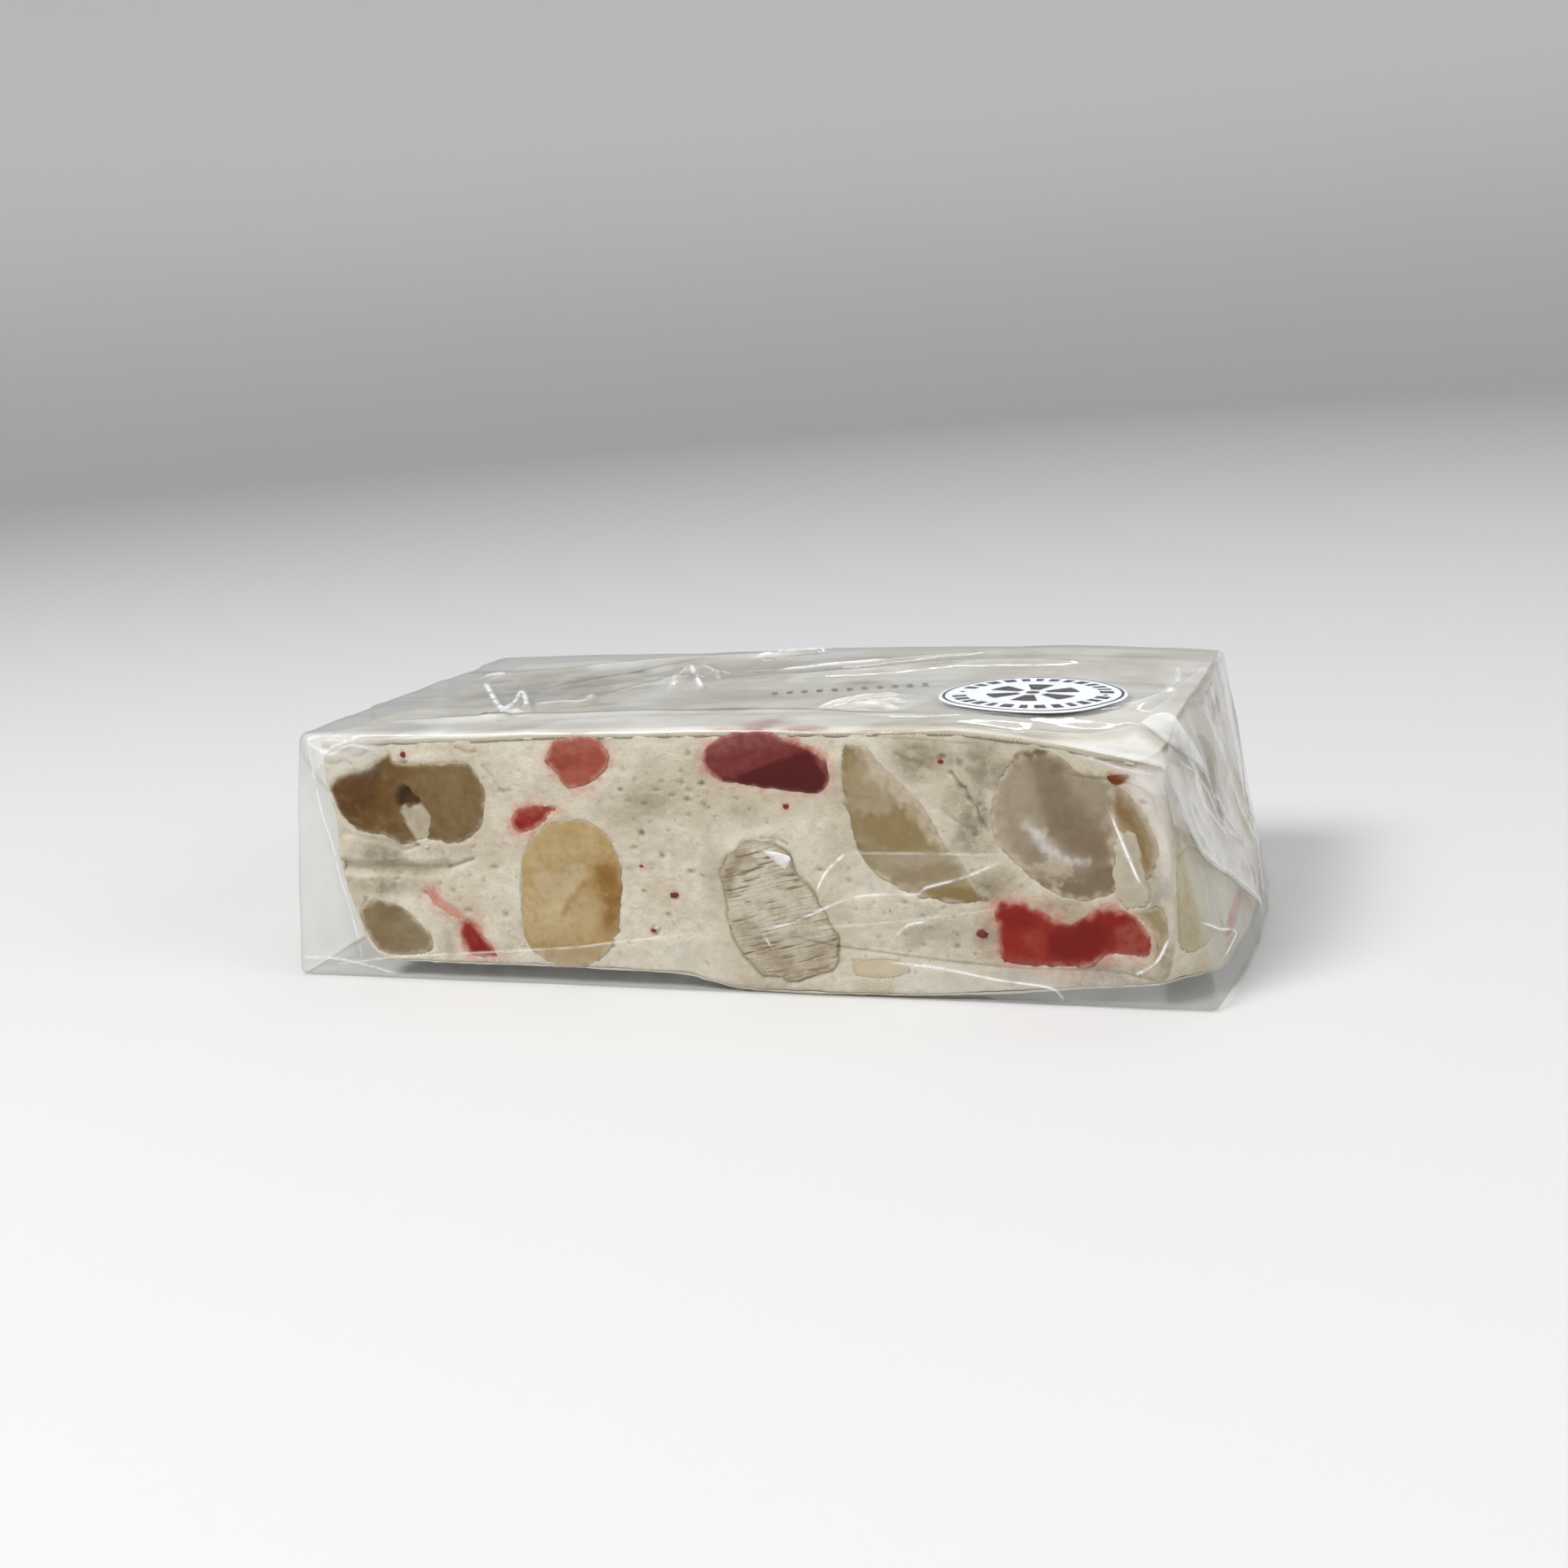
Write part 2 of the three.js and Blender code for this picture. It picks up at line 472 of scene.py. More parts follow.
class Recipe:
    """A material's nodes, added one at a time."""

    def __init__(self, name: str) -> None:
        """Start an empty material with an output.

        Args:
            name: the material's name.
        """
        self.material = bpy.data.materials.new(name)
        self.material.use_nodes = True
        self.tree = self.material.node_tree
        self.tree.nodes.clear()
        self.output = self.tree.nodes.new("ShaderNodeOutputMaterial")
        self.place = self.add("TexCoord").outputs["Object"]

    def add(self, kind: str, inputs: dict | None = None, **settings: object) -> bpy.types.Node:
        """Add a node.

        Args:
            kind: the node's type, without its ShaderNode prefix.
            inputs: values or sockets for its inputs, by name or number.
            **settings: the node's own settings.

        Returns:
            The new node.
        """
        node = self.tree.nodes.new("ShaderNode" + kind)
        for name, value in settings.items():
            setattr(node, name, value)
        for name, value in (inputs or {}).items():
            if isinstance(value, bpy.types.NodeSocket):
                self.tree.links.new(value, node.inputs[name])
            else:
                node.inputs[name].default_value = value
        return node

    def fact(self, name: str) -> bpy.types.NodeSocket:
        """Return a mesh's named fact as a number."""
        return self.add("Attribute", attribute_name=name).outputs["Fac"]

    def noise(self, size: float, detail: float = 3.0, stretch: Triple = (1, 1, 1),
              slant: float = 0.0) -> bpy.types.NodeSocket:
        """Return noise from 0 to 1.

        Args:
            size: the width of its lumps in millimetres.
            detail: how many finer layers it has.
            stretch: how much finer it is along each axis.
            slant: how far its X axis is turned up about Y, in degrees.

        Returns:
            The noise's socket.
        """
        turned = {"Vector": self.place, "Scale": [1 / part for part in stretch],
                  "Rotation": (0, -math.radians(slant), 0)}
        scaled = self.add("Mapping", turned, vector_type="TEXTURE").outputs[0]
        fixed = {"Vector": scaled, "Scale": 1 / (size * MM), "Detail": detail, "Roughness": 0.55}
        return self.add("TexNoise", fixed).outputs[0]

    def math(self, operation: str, *values: object) -> bpy.types.NodeSocket:
        """Return a sum, product or other operation on numbers or sockets."""
        node = self.add("Math", dict(enumerate(values)), operation=operation)
        return node.outputs[0]

    def ramp(self, value: bpy.types.NodeSocket, low: float, high: float,
             start: float = 0.0, end: float = 1.0) -> bpy.types.NodeSocket:
        """Return a smooth step.

        Args:
            value: the number that drives it.
            low: where it starts.
            high: where it ends.
            start: its number at the start.
            end: its number at the end.

        Returns:
            The step's socket.
        """
        sockets = {"Value": value, "From Min": low, "From Max": high, "To Min": start, "To Max": end}
        return self.add("MapRange", sockets, interpolation_type="SMOOTHSTEP").outputs[0]

    def blend(self, share: object, first: object, second: object, mode: str = "MIX") -> bpy.types.NodeSocket:
        """Return a colour between two.

        Args:
            share: how much of the second there is.
            first: a colour or socket.
            second: a colour or socket.
            mode: how they are blended.

        Returns:
            The colour's socket.
        """
        node = self.add("Mix", data_type="RGBA", blend_type=mode)
        for number, value in ((0, share), (6, first), (7, second)):
            if isinstance(value, bpy.types.NodeSocket):
                self.tree.links.new(value, node.inputs[number])
            else:
                node.inputs[number].default_value = value
        return node.outputs[2]

    def bump(self, height: bpy.types.NodeSocket, depth: float, below: object = None) -> bpy.types.NodeSocket:
        """Return a bumped normal.

        Args:
            height: the relief, from 0 to 1.
            depth: its depth in millimetres.
            below: a normal that it adds to.

        Returns:
            The normal's socket.
        """
        sockets = {"Height": height, "Distance": depth * MM, "Strength": 1.0}
        if below is not None:
            sockets["Normal"] = below
        return self.add("Bump", sockets).outputs[0]

    def times(self, first: object, second: object) -> bpy.types.NodeSocket:
        """Return the product of two numbers or sockets."""
        return self.math("MULTIPLY", first, second)

    def patches(self, size: float, detail: float, low: float, high: float,
                strength: float = 1.0, stretch: Triple = (1, 1, 1)) -> bpy.types.NodeSocket:
        """Return uneven patches.

        Args:
            size: their width in millimetres.
            detail: how many finer layers their edges have.
            low: the noise at which they start.
            high: the noise at which they are full.
            strength: how strong they are where they are full.
            stretch: how much finer they are along each axis.

        Returns:
            The patches' socket.
        """
        return self.times(self.ramp(self.noise(size, detail, stretch), low, high), strength)

    def varied(self, size: float, low: float, high: float) -> bpy.types.NodeSocket:
        """Return a number that drifts between low and high over lumps of a size in millimetres."""
        return self.ramp(self.noise(size), 0.3, 0.7, low, high)

    def finish(self, shader: bpy.types.Node) -> bpy.types.Material:
        """Join a shader to the output and return the material."""
        self.tree.links.new(shader.outputs[0], self.output.inputs["Surface"])
        return self.material

    def surface(self, inputs: dict) -> bpy.types.Material:
        """Finish with a principled surface of these inputs and return the material."""
        return self.finish(self.add("BsdfPrincipled", inputs))


@dataclass(frozen=True)
class NougatFinish:
    """Soft aerated sugar: matt, creamy, a little see-through, pink where fruit bleeds, with painted shade in
    its pits and cracks and darker patches that are partly painted shade.
    """

    cream: Colour = (216, 208, 194)
    shade: Colour = (198, 187, 168)
    # dusk is the colour of the darker patches, partly painted shade under folds; it also darkens small random
    # patches.
    dusk: Colour = (146, 135, 115)
    # The colour of the painted shade in pits, cracks and grooves.
    pore: Colour = (132, 117, 94)
    pink: Colour = (206, 128, 118)
    roughness: float = 0.62
    scatter_mm: float = 1.0

    def material(self) -> bpy.types.Material:
        """Build the material.

        Returns:
            The material.
        """
        recipe = Recipe("nougat")
        cloud = recipe.ramp(recipe.noise(7.0, 4.0), 0.36, 0.68)
        colour = recipe.blend(cloud, wrapped(self.cream), wrapped(self.shade))
        # Darker patches towards dusk: partly darker nougat, partly painted shade under the folded lip on the
        # left and below the two-lobed nut.
        painted_shade_and_tone = recipe.times(recipe.fact("shade"), recipe.ramp(recipe.noise(1.8, 4.0), 0.2, 0.66, 0.45))
        colour = recipe.blend(painted_shade_and_tone, colour, wrapped(self.dusk))
        colour = recipe.blend(recipe.patches(1.3, 3.0, 0.48, 0.66, 0.55), colour, wrapped(self.shade))
        colour = recipe.blend(recipe.patches(0.8, 3.0, 0.56, 0.74, 0.28), colour, wrapped(self.dusk))
        # Painted shade: pits, cracks and the grooves round nuts and fruit are darkened.
        colour = recipe.blend(recipe.fact("pore"), colour, wrapped(self.pore))
        bled = recipe.times(recipe.fact("stain"), recipe.ramp(recipe.noise(0.8, 3.0), 0.25, 0.6))
        colour = recipe.blend(bled, colour, wrapped(self.pink))
        relief = recipe.bump(recipe.noise(0.45, 2.0), 0.10)
        return recipe.surface({
            "Base Color": colour,
            "Roughness": recipe.varied(2.0, self.roughness - 0.12, self.roughness + 0.1),
            "Normal": recipe.bump(recipe.noise(1.5, 3.0), 0.22, relief),
            "Specular IOR Level": 0.3,
            "Subsurface Weight": 0.3,
            "Subsurface Radius": (1.0, 0.75, 0.5),
            "Subsurface Scale": self.scatter_mm * MM,
        })


@dataclass(frozen=True)
class WaferFinish:
    """Edible wafer sheet: off-white, matt, finely dented, darker over what lies under it, and with broad
    painted shade over the back and left of the top and along its front strip.
    """

    white: Colour = (228, 227, 223)
    warm: Colour = (208, 201, 189)
    shadow: Colour = (132, 125, 112)
    stain: Colour = (158, 86, 82)
    edge: Colour = (190, 181, 163)

    def material(self) -> bpy.types.Material:
        """Build the material.

        Returns:
            The material.
        """
        recipe = Recipe("wafer_paper")
        cloud = recipe.ramp(recipe.noise(14.0, 3.0), 0.35, 0.65)
        colour = recipe.blend(cloud, wrapped(self.white), wrapped(self.warm))
        # The shadow fact is partly painted shade and partly what lies under the sheet showing through; the
        # stain is fruit showing through.
        for fact, tone in (("shadow", self.shadow), ("stain", self.stain)):
            mottle = recipe.ramp(recipe.noise(4.0, 2.0), 0.2, 0.65, 0.5)
            colour = recipe.blend(recipe.times(recipe.fact(fact), mottle), colour, wrapped(tone))
        return recipe.surface({
            "Base Color": recipe.blend(recipe.fact("edge"), colour, wrapped(self.edge)),
            "Roughness": recipe.varied(1.2, 0.5, 0.72),
            "Normal": recipe.bump(recipe.noise(0.6, 2.0), 0.07),
            "Specular IOR Level": 0.3,
        })


CREAM = (191, 179, 159)


@dataclass(frozen=True)
class KernelFinish:
    """Cut nut: oily, a little see-through, unevenly toned, with nougat smeared over its rim."""

    name: str
    near: Colour
    far: Colour
    rim: Colour
    deep: Colour
    pale: Colour
    bloom: Colour
    streaks: float = 0.0
    slant: float = 0.0
    roughness: float = 0.4
    scatter_mm: float = 1.2

    def material(self) -> bpy.types.Material:
        """Build the material.

        Returns:
            The material.
        """
        recipe = Recipe(self.name)
        near, far, rim, deep, pale, bloom = (
            wrapped(colour) for colour in (self.near, self.far, self.rim, self.deep, self.pale, self.bloom)
        )
        wander = recipe.math("SUBTRACT", recipe.noise(3.0, 4.0), 0.5)
        across = recipe.math("MULTIPLY_ADD", wander, 1.1, recipe.fact("across"))
        colour = recipe.blend(recipe.ramp(across, 0.2, 0.8), near, far)
        colour = recipe.blend(recipe.patches(2.4, 3.0, 0.46, 0.7, 0.5, (0.8, 1, 1.2)), colour, bloom)
        colour = recipe.blend(recipe.patches(1.2, 4.0, 0.45, 0.68, 0.42), colour, rim)
        edge = recipe.math("MULTIPLY_ADD", wander, 0.9, recipe.fact("rim"))
        colour = recipe.blend(recipe.ramp(edge, 0.35, 1.0), colour, rim)
        uneven = recipe.ramp(recipe.noise(1.4, 4.0), 0.25, 0.6, 0.7, 1.0)
        colour = recipe.blend(recipe.times(recipe.fact("deep"), uneven), colour, deep)
        colour = recipe.blend(recipe.times(recipe.fact("pale"), uneven), colour, pale)
        grit = recipe.noise(0.8, 3.0)
        colour = recipe.blend(recipe.times(recipe.ramp(grit, 0.48, 0.34), 0.16), colour, deep)
        colour = recipe.blend(recipe.times(recipe.ramp(grit, 0.6, 0.74), 0.3), colour, bloom)
        relief = recipe.bump(recipe.noise(0.9, 3.0), 0.10)
        if self.streaks:
            knife = recipe.noise(0.5, 2.0, (0.11, 1, 1.25), self.slant)
            relief = recipe.bump(knife, 0.25 * self.streaks, relief)
            line = recipe.times(recipe.ramp(knife, 0.45, 0.34), 0.9 * self.streaks)
            colour = recipe.blend(line, colour, deep)
        smear = recipe.times(recipe.fact("cream"), recipe.ramp(recipe.noise(0.9, 3.0), 0.25, 0.58, 0.55))
        return recipe.surface({
            "Base Color": recipe.blend(smear, colour, wrapped(CREAM)),
            "Roughness": recipe.varied(1.5, self.roughness - 0.08, self.roughness + 0.12),
            "Normal": relief,
            "Specular IOR Level": 0.1,
            "Subsurface Weight": 0.15,
            "Subsurface Radius": (1.0, 0.65, 0.35),
            "Subsurface Scale": self.scatter_mm * MM,
        })


@dataclass(frozen=True)
class FruitFinish:
    """Dried red fruit: soft, moist, deeper in its middle, and paler where nougat smears over it."""

    name: str
    near: Colour
    far: Colour
    pale: Colour
    deep: Colour = (112, 22, 20)
    smear: Colour = (206, 156, 142)

    def material(self) -> bpy.types.Material:
        """Build the material.

        Returns:
            The material.
        """
        recipe = Recipe(self.name)
        near, far, pale, deep = (wrapped(colour) for colour in (self.near, self.far, self.pale, self.deep))
        wander = recipe.math("SUBTRACT", recipe.noise(2.4, 4.0), 0.5)
        across = recipe.math("MULTIPLY_ADD", wander, 0.9, recipe.fact("across"))
        colour = recipe.blend(recipe.ramp(across, 0.3, 0.7), near, far)
        colour = recipe.blend(recipe.patches(1.1, 4.0, 0.48, 0.7, 0.25), colour, pale)
        colour = recipe.blend(recipe.patches(0.7, 3.0, 0.47, 0.36, 0.45), colour, far)
        uneven = recipe.ramp(recipe.noise(1.0, 4.0), 0.3, 0.6, 0.3, 1.0)
        colour = recipe.blend(recipe.times(recipe.fact("pale"), uneven), colour, pale)
        colour = recipe.blend(recipe.fact("deep"), colour, deep)
        edge = recipe.math("MULTIPLY_ADD", wander, 1.1, recipe.fact("rim"))
        colour = recipe.blend(recipe.times(recipe.ramp(edge, 0.7, 1.25), 0.6), colour, pale)
        smear = recipe.times(recipe.fact("cream"), recipe.ramp(recipe.noise(0.7, 3.0), 0.3, 0.56, 0.45))
        return recipe.surface({
            "Base Color": recipe.blend(smear, colour, wrapped(self.smear)),
            "Roughness": recipe.varied(0.9, 0.4, 0.58),
            "Normal": recipe.bump(recipe.noise(0.7, 2.0), 0.08),
            "Specular IOR Level": 0.1,
        })


@dataclass(frozen=True)
class FilmFinish:
    """Clear wrapping film: see-through, glossy at a glance, whitened along its creases partly as a painted
    highlight, greyed along some as painted shade, and milky in patches partly as a painted sheen.
    """

    name: str = "clear_film"
    tint: Colour = (249, 249, 247)
    side_tint: Colour = (205, 207, 206)
    # grey darkens what is seen through the film along some creases and fold edges: painted shade.
    grey: Colour = (132, 130, 126)
    # cloud is the white of the milky patches, partly a painted sheen.
    cloud: Colour = (240, 241, 242)
    gloss: float = 0.012
    roughness: float = 0.045

    def material(self) -> bpy.types.Material:
        """Build the material.

        Returns:
            The material.
        """
        recipe = Recipe(self.name)
        glance = recipe.add("LayerWeight", {"Blend": 0.5}).outputs["Facing"]
        rise = recipe.math("POWER", glance, 5.0)
        mirror = recipe.math("MULTIPLY_ADD", rise, 1.0 - self.gloss, self.gloss)
        sideways = recipe.math("POWER", glance, 3.0)
        tint = recipe.blend(sideways, linear(self.tint), linear(self.side_tint))
        # Painted shade along greyed creases and fold edges.
        tint = recipe.blend(recipe.fact("grey"), tint, linear(self.grey))
        clear = recipe.add("BsdfTransparent", {"Color": tint})
        shine = recipe.add("BsdfGlossy", {
            "Color": (1, 1, 1, 1),
            "Roughness": recipe.varied(5.0, self.roughness * 0.6, self.roughness * 1.7),
            "Normal": recipe.bump(recipe.noise(2.6, 2.0), 0.02),
        })
        film = recipe.add("MixShader", {0: mirror, 1: clear.outputs[0], 2: shine.outputs[0]})
        # Painted sheen: milky patches are a white diffuse layer, partly where the film lies double and partly
        # standing in for its reflection and glare.
        white = recipe.add("BsdfDiffuse", {"Color": linear(self.cloud)})
        milk = recipe.ramp(recipe.noise(7.0, 3.0), 0.25, 0.7, 0.5, 1.2)
        veil = recipe.times(recipe.fact("haze"), milk)
        cloudy = recipe.add("MixShader", {0: veil, 1: film.outputs[0], 2: white.outputs[0]})
        # Painted highlight: crease crests turn white, partly stress whitening and partly standing in for
        # glints.
        whitening_and_painted_glint = recipe.add("BsdfDiffuse", {"Color": (0.97, 0.97, 0.97, 1)})
        glint = recipe.add("BsdfGlossy", {"Color": (1, 1, 1, 1), "Roughness": 0.32})
        edge = recipe.add("MixShader", {0: 0.4, 1: whitening_and_painted_glint.outputs[0], 2: glint.outputs[0]})
        broken = recipe.ramp(recipe.noise(2.2, 3.0), 0.3, 0.55, 0.15, 1.0)
        crease = recipe.times(recipe.fact("crease"), broken)
        cover = recipe.add("MixShader", {0: crease, 1: cloudy.outputs[0], 2: edge.outputs[0]})
        return recipe.finish(cover)


@dataclass(frozen=True)
class PaperFinish:
    """Coated label paper: bright, smooth and a little glossy."""

    white: Colour = (236, 240, 247)
    shade: Colour = (226, 231, 240)

    def material(self) -> bpy.types.Material:
        """Build the material.

        Returns:
            The material.
        """
        recipe = Recipe("label_paper")
        return recipe.surface({
            "Base Color": recipe.blend(recipe.varied(4.0, 0.0, 1.0), linear(self.white), linear(self.shade)),
            "Roughness": recipe.varied(3.0, 0.28, 0.4),
            "Normal": recipe.bump(recipe.noise(1.4, 3.0), 0.02),
        })


@dataclass(frozen=True)
class InkFinish:
    """Dark printing ink, a little worn."""

    name: str
    ink: Colour
    wear: float = 0.2
    worn: Colour = (150, 148, 146)

    def material(self) -> bpy.types.Material:
        """Build the material.

        Returns:
            The material.
        """
        recipe = Recipe(self.name)
        wear = recipe.patches(0.5, 3.0, 0.45, 0.7, self.wear)
        return recipe.surface({
            "Base Color": recipe.blend(wear, linear(self.ink), linear(self.worn)),
            "Roughness": recipe.varied(1.0, 0.4, 0.55),
        })


@dataclass(frozen=True)
class FloorFinish:
    """A pale matt studio floor."""

    near: Colour = (208, 208, 208)
    far: Colour = (238, 238, 238)

    def material(self) -> bpy.types.Material:
        """Build the material, paler up the wall.

        Returns:
            The material.
        """
        recipe = Recipe("studio_floor")
        height = recipe.add("SeparateXYZ", {0: recipe.place}).outputs[2]
        rise = recipe.math("MULTIPLY_ADD", recipe.noise(180.0), 0.02, height)
        colour = recipe.blend(recipe.ramp(rise, 0.0, 0.3), linear(self.near), linear(self.far))
        return recipe.surface({"Base Color": colour, "Roughness": 0.8})


def dress(piece: bpy.types.Object, material: bpy.types.Material) -> None:
    """Give a piece its material and the body it rides on.

    Args:
        piece: the mesh object.
        material: its material.
    """
    piece.data.materials.clear()
    piece.data.materials.append(material)
    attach(piece, BODY)
    LOG.info("made %s with %d triangles", piece.name, len(piece.data.polygons))


# ---------------------------------------------------------------- the wrap's form


@dataclass(frozen=True)
class WrapForm:
    """The outer form of the film, the same as the frame's own: a box that leans in at its ends."""

    width: float
    height: float
    foot_length: float = 116.0
    edge_radius: float = 0.9
    left_inset: float = 4.4
    right_inset: float = 7.0
    right_corner_pull: float = 2.4
    belly: float = 0.5
    right_droop: float = 1.7
    corner_droop: float = 4.5
    right_droop_start: float = 27.0
    corner_droop_depth: float = 16.0
    left_droop: float = 0.5
    crown_fall: float = 0.6
    crown_fall_span: Pair = (-27.0, 10.0)
    upper_flap: float = 0.9
    lower_flap: float = 0.5
    flap_softness: float = 2.2
    flap_tip: float = 0.6

    @classmethod
    def from_frame(cls) -> "WrapForm":
        """Take the form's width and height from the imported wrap."""
        low, high = (np.array(corner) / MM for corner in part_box("film_wrap"))
        return cls(width=high[1] - low[1], height=high[2] - low[2])

    @property
    def half(self) -> Array:
        """The half sizes of the plain box."""
        return np.array([self.foot_length, self.width, self.height]) / 2

    def droop(self, x: Array, y: Array) -> Array:
        """Return how far the top sinks below the full height.

        Args:
            x: the places along.
            y: the places across.

        Returns:
            The fall at each place.
        """
        half_length, half_width = self.foot_length / 2, self.width / 2
        start = self.right_droop_start
        rightward = np.maximum(0.0, (x - start) / (half_length - start)) ** 1.5
        frontward = ease(-y, half_width - self.corner_droop_depth, half_width)
        right = rightward * (self.right_droop + self.corner_droop * frontward)
        crown = self.crown_fall * ease(y, *self.crown_fall_span)
        return right + self.left_droop * ease(-x, 0.0, half_length) + crown

    def top(self, x: Array, y: Array) -> Array:
        """Return the height of the film's top."""
        return self.height - self.droop(x, y)

    def lean(self, side: int, y: Array, share: Array) -> Array:
        """Return how far out an end stands at places across and up it, without its flaps.

        Args:
            side: -1 for the left end and 1 for the right one.
            y: the place across.
            share: the height, from 0 at the foot to 1 at the top.

        Returns:
            The distance from the middle of the wrap.
        """
        inset = self.right_inset if side > 0 else self.left_inset
        pull = self.right_corner_pull * (y / (self.width / 2)) ** 2 * (1 - share) if side > 0 else 0.0
        return self.foot_length / 2 - inset * share - pull

    def end(self, side: int, y: Array, share: Array) -> Array:
        """Return the X of an end's film.

        Args:
            side: -1 for the left end and 1 for the right one.
            y: the place across.
            share: the height, from 0 at the foot to 1 at the top.

        Returns:
            The X of each place.
        """
        upper = ease(self.width / 2 * (share - self.flap_tip) - np.abs(y), 0.0, self.flap_softness)
        lower = ease(self.width / 2 * (1 - share) - np.abs(y), 0.0, self.flap_softness)
        proud = (self.upper_flap * upper + self.lower_flap * lower * (1 - upper)) * share
        return side * (self.lean(side, y, share) + proud)

    def shape(self, points: Array) -> Array:
        """Move points of the rounded box to their places on the wrap.

        Args:
            points: the points, one row each.

        Returns:
            The moved points.
        """
        share = points[:, 2] / self.height + 0.5
        belly = self.belly * (4 * share * (1 - share) - 1)
        y = points[:, 1] * (1 + belly / (self.width / 2))
        along = points[:, 0] / self.foot_length + 0.5
        left, right = self.end(-1, y, share), self.end(1, y, share)
        x = left + (right - left) * along
        return np.column_stack([x, y, self.top(x, y) * share])


def blotches(marks: Blotches, places: Array, where: Array, seed: int) -> Array:
    """Lay soft uneven ovals over places.

    Args:
        marks: each oval's middle, half width, half height and strength.
        places: the places, one row each.
        where: which of them take the ovals.
        seed: where their unevenness comes from.

    Returns:
        The strongest oval's share at each place.
    """
    wander = 0.3 * Grain(seed).layered(lifted(places), 4.0, 3)
    share = np.zeros(len(places))
    for across, up, wide, tall, strength in marks:
        gap = np.hypot((places[:, 0] - across) / wide, (places[:, 1] - up) / tall)
        share = np.maximum(share, strength * ease(wander - gap, -1.1, -0.1))
    return share * where


# ---------------------------------------------------------------- the nougat block


class Side(Enum):
    """A side of the bar or its wrap: the axis that it faces along, and the end of it."""

    FRONT = (1, -1)
    BACK = (1, 1)
    LEFT = (0, -1)
    RIGHT = (0, 1)
    TOP = (2, 1)
    FOOT = (2, -1)

    @property
    def axis(self) -> int:
        """The axis that the side faces along."""
        return self.value[0]

    @property
    def sign(self) -> int:
        """Which end of that axis the side is at."""
        return self.value[1]

    def flat(self, points: Array) -> Array:
        """Return points as places across and up a cut side."""
        return points[:, [1 - self.axis, 2]]

    def outward(self, triangles: Array) -> Array:
        """Return triangles drawn across and up a cut side, turned to face out of it."""
        return triangles if self in (Side.FRONT, Side.RIGHT) else triangles[:, ::-1]


CUT_SIDES = (Side.FRONT, Side.BACK, Side.LEFT, Side.RIGHT)


@dataclass(frozen=True)
class Scar:
    """A groove or crack along a line on a cut side, darkened with painted shade."""

    side: Side
    points: tuple[Pair, ...]
    width: float
    depth: float
    darkness: float


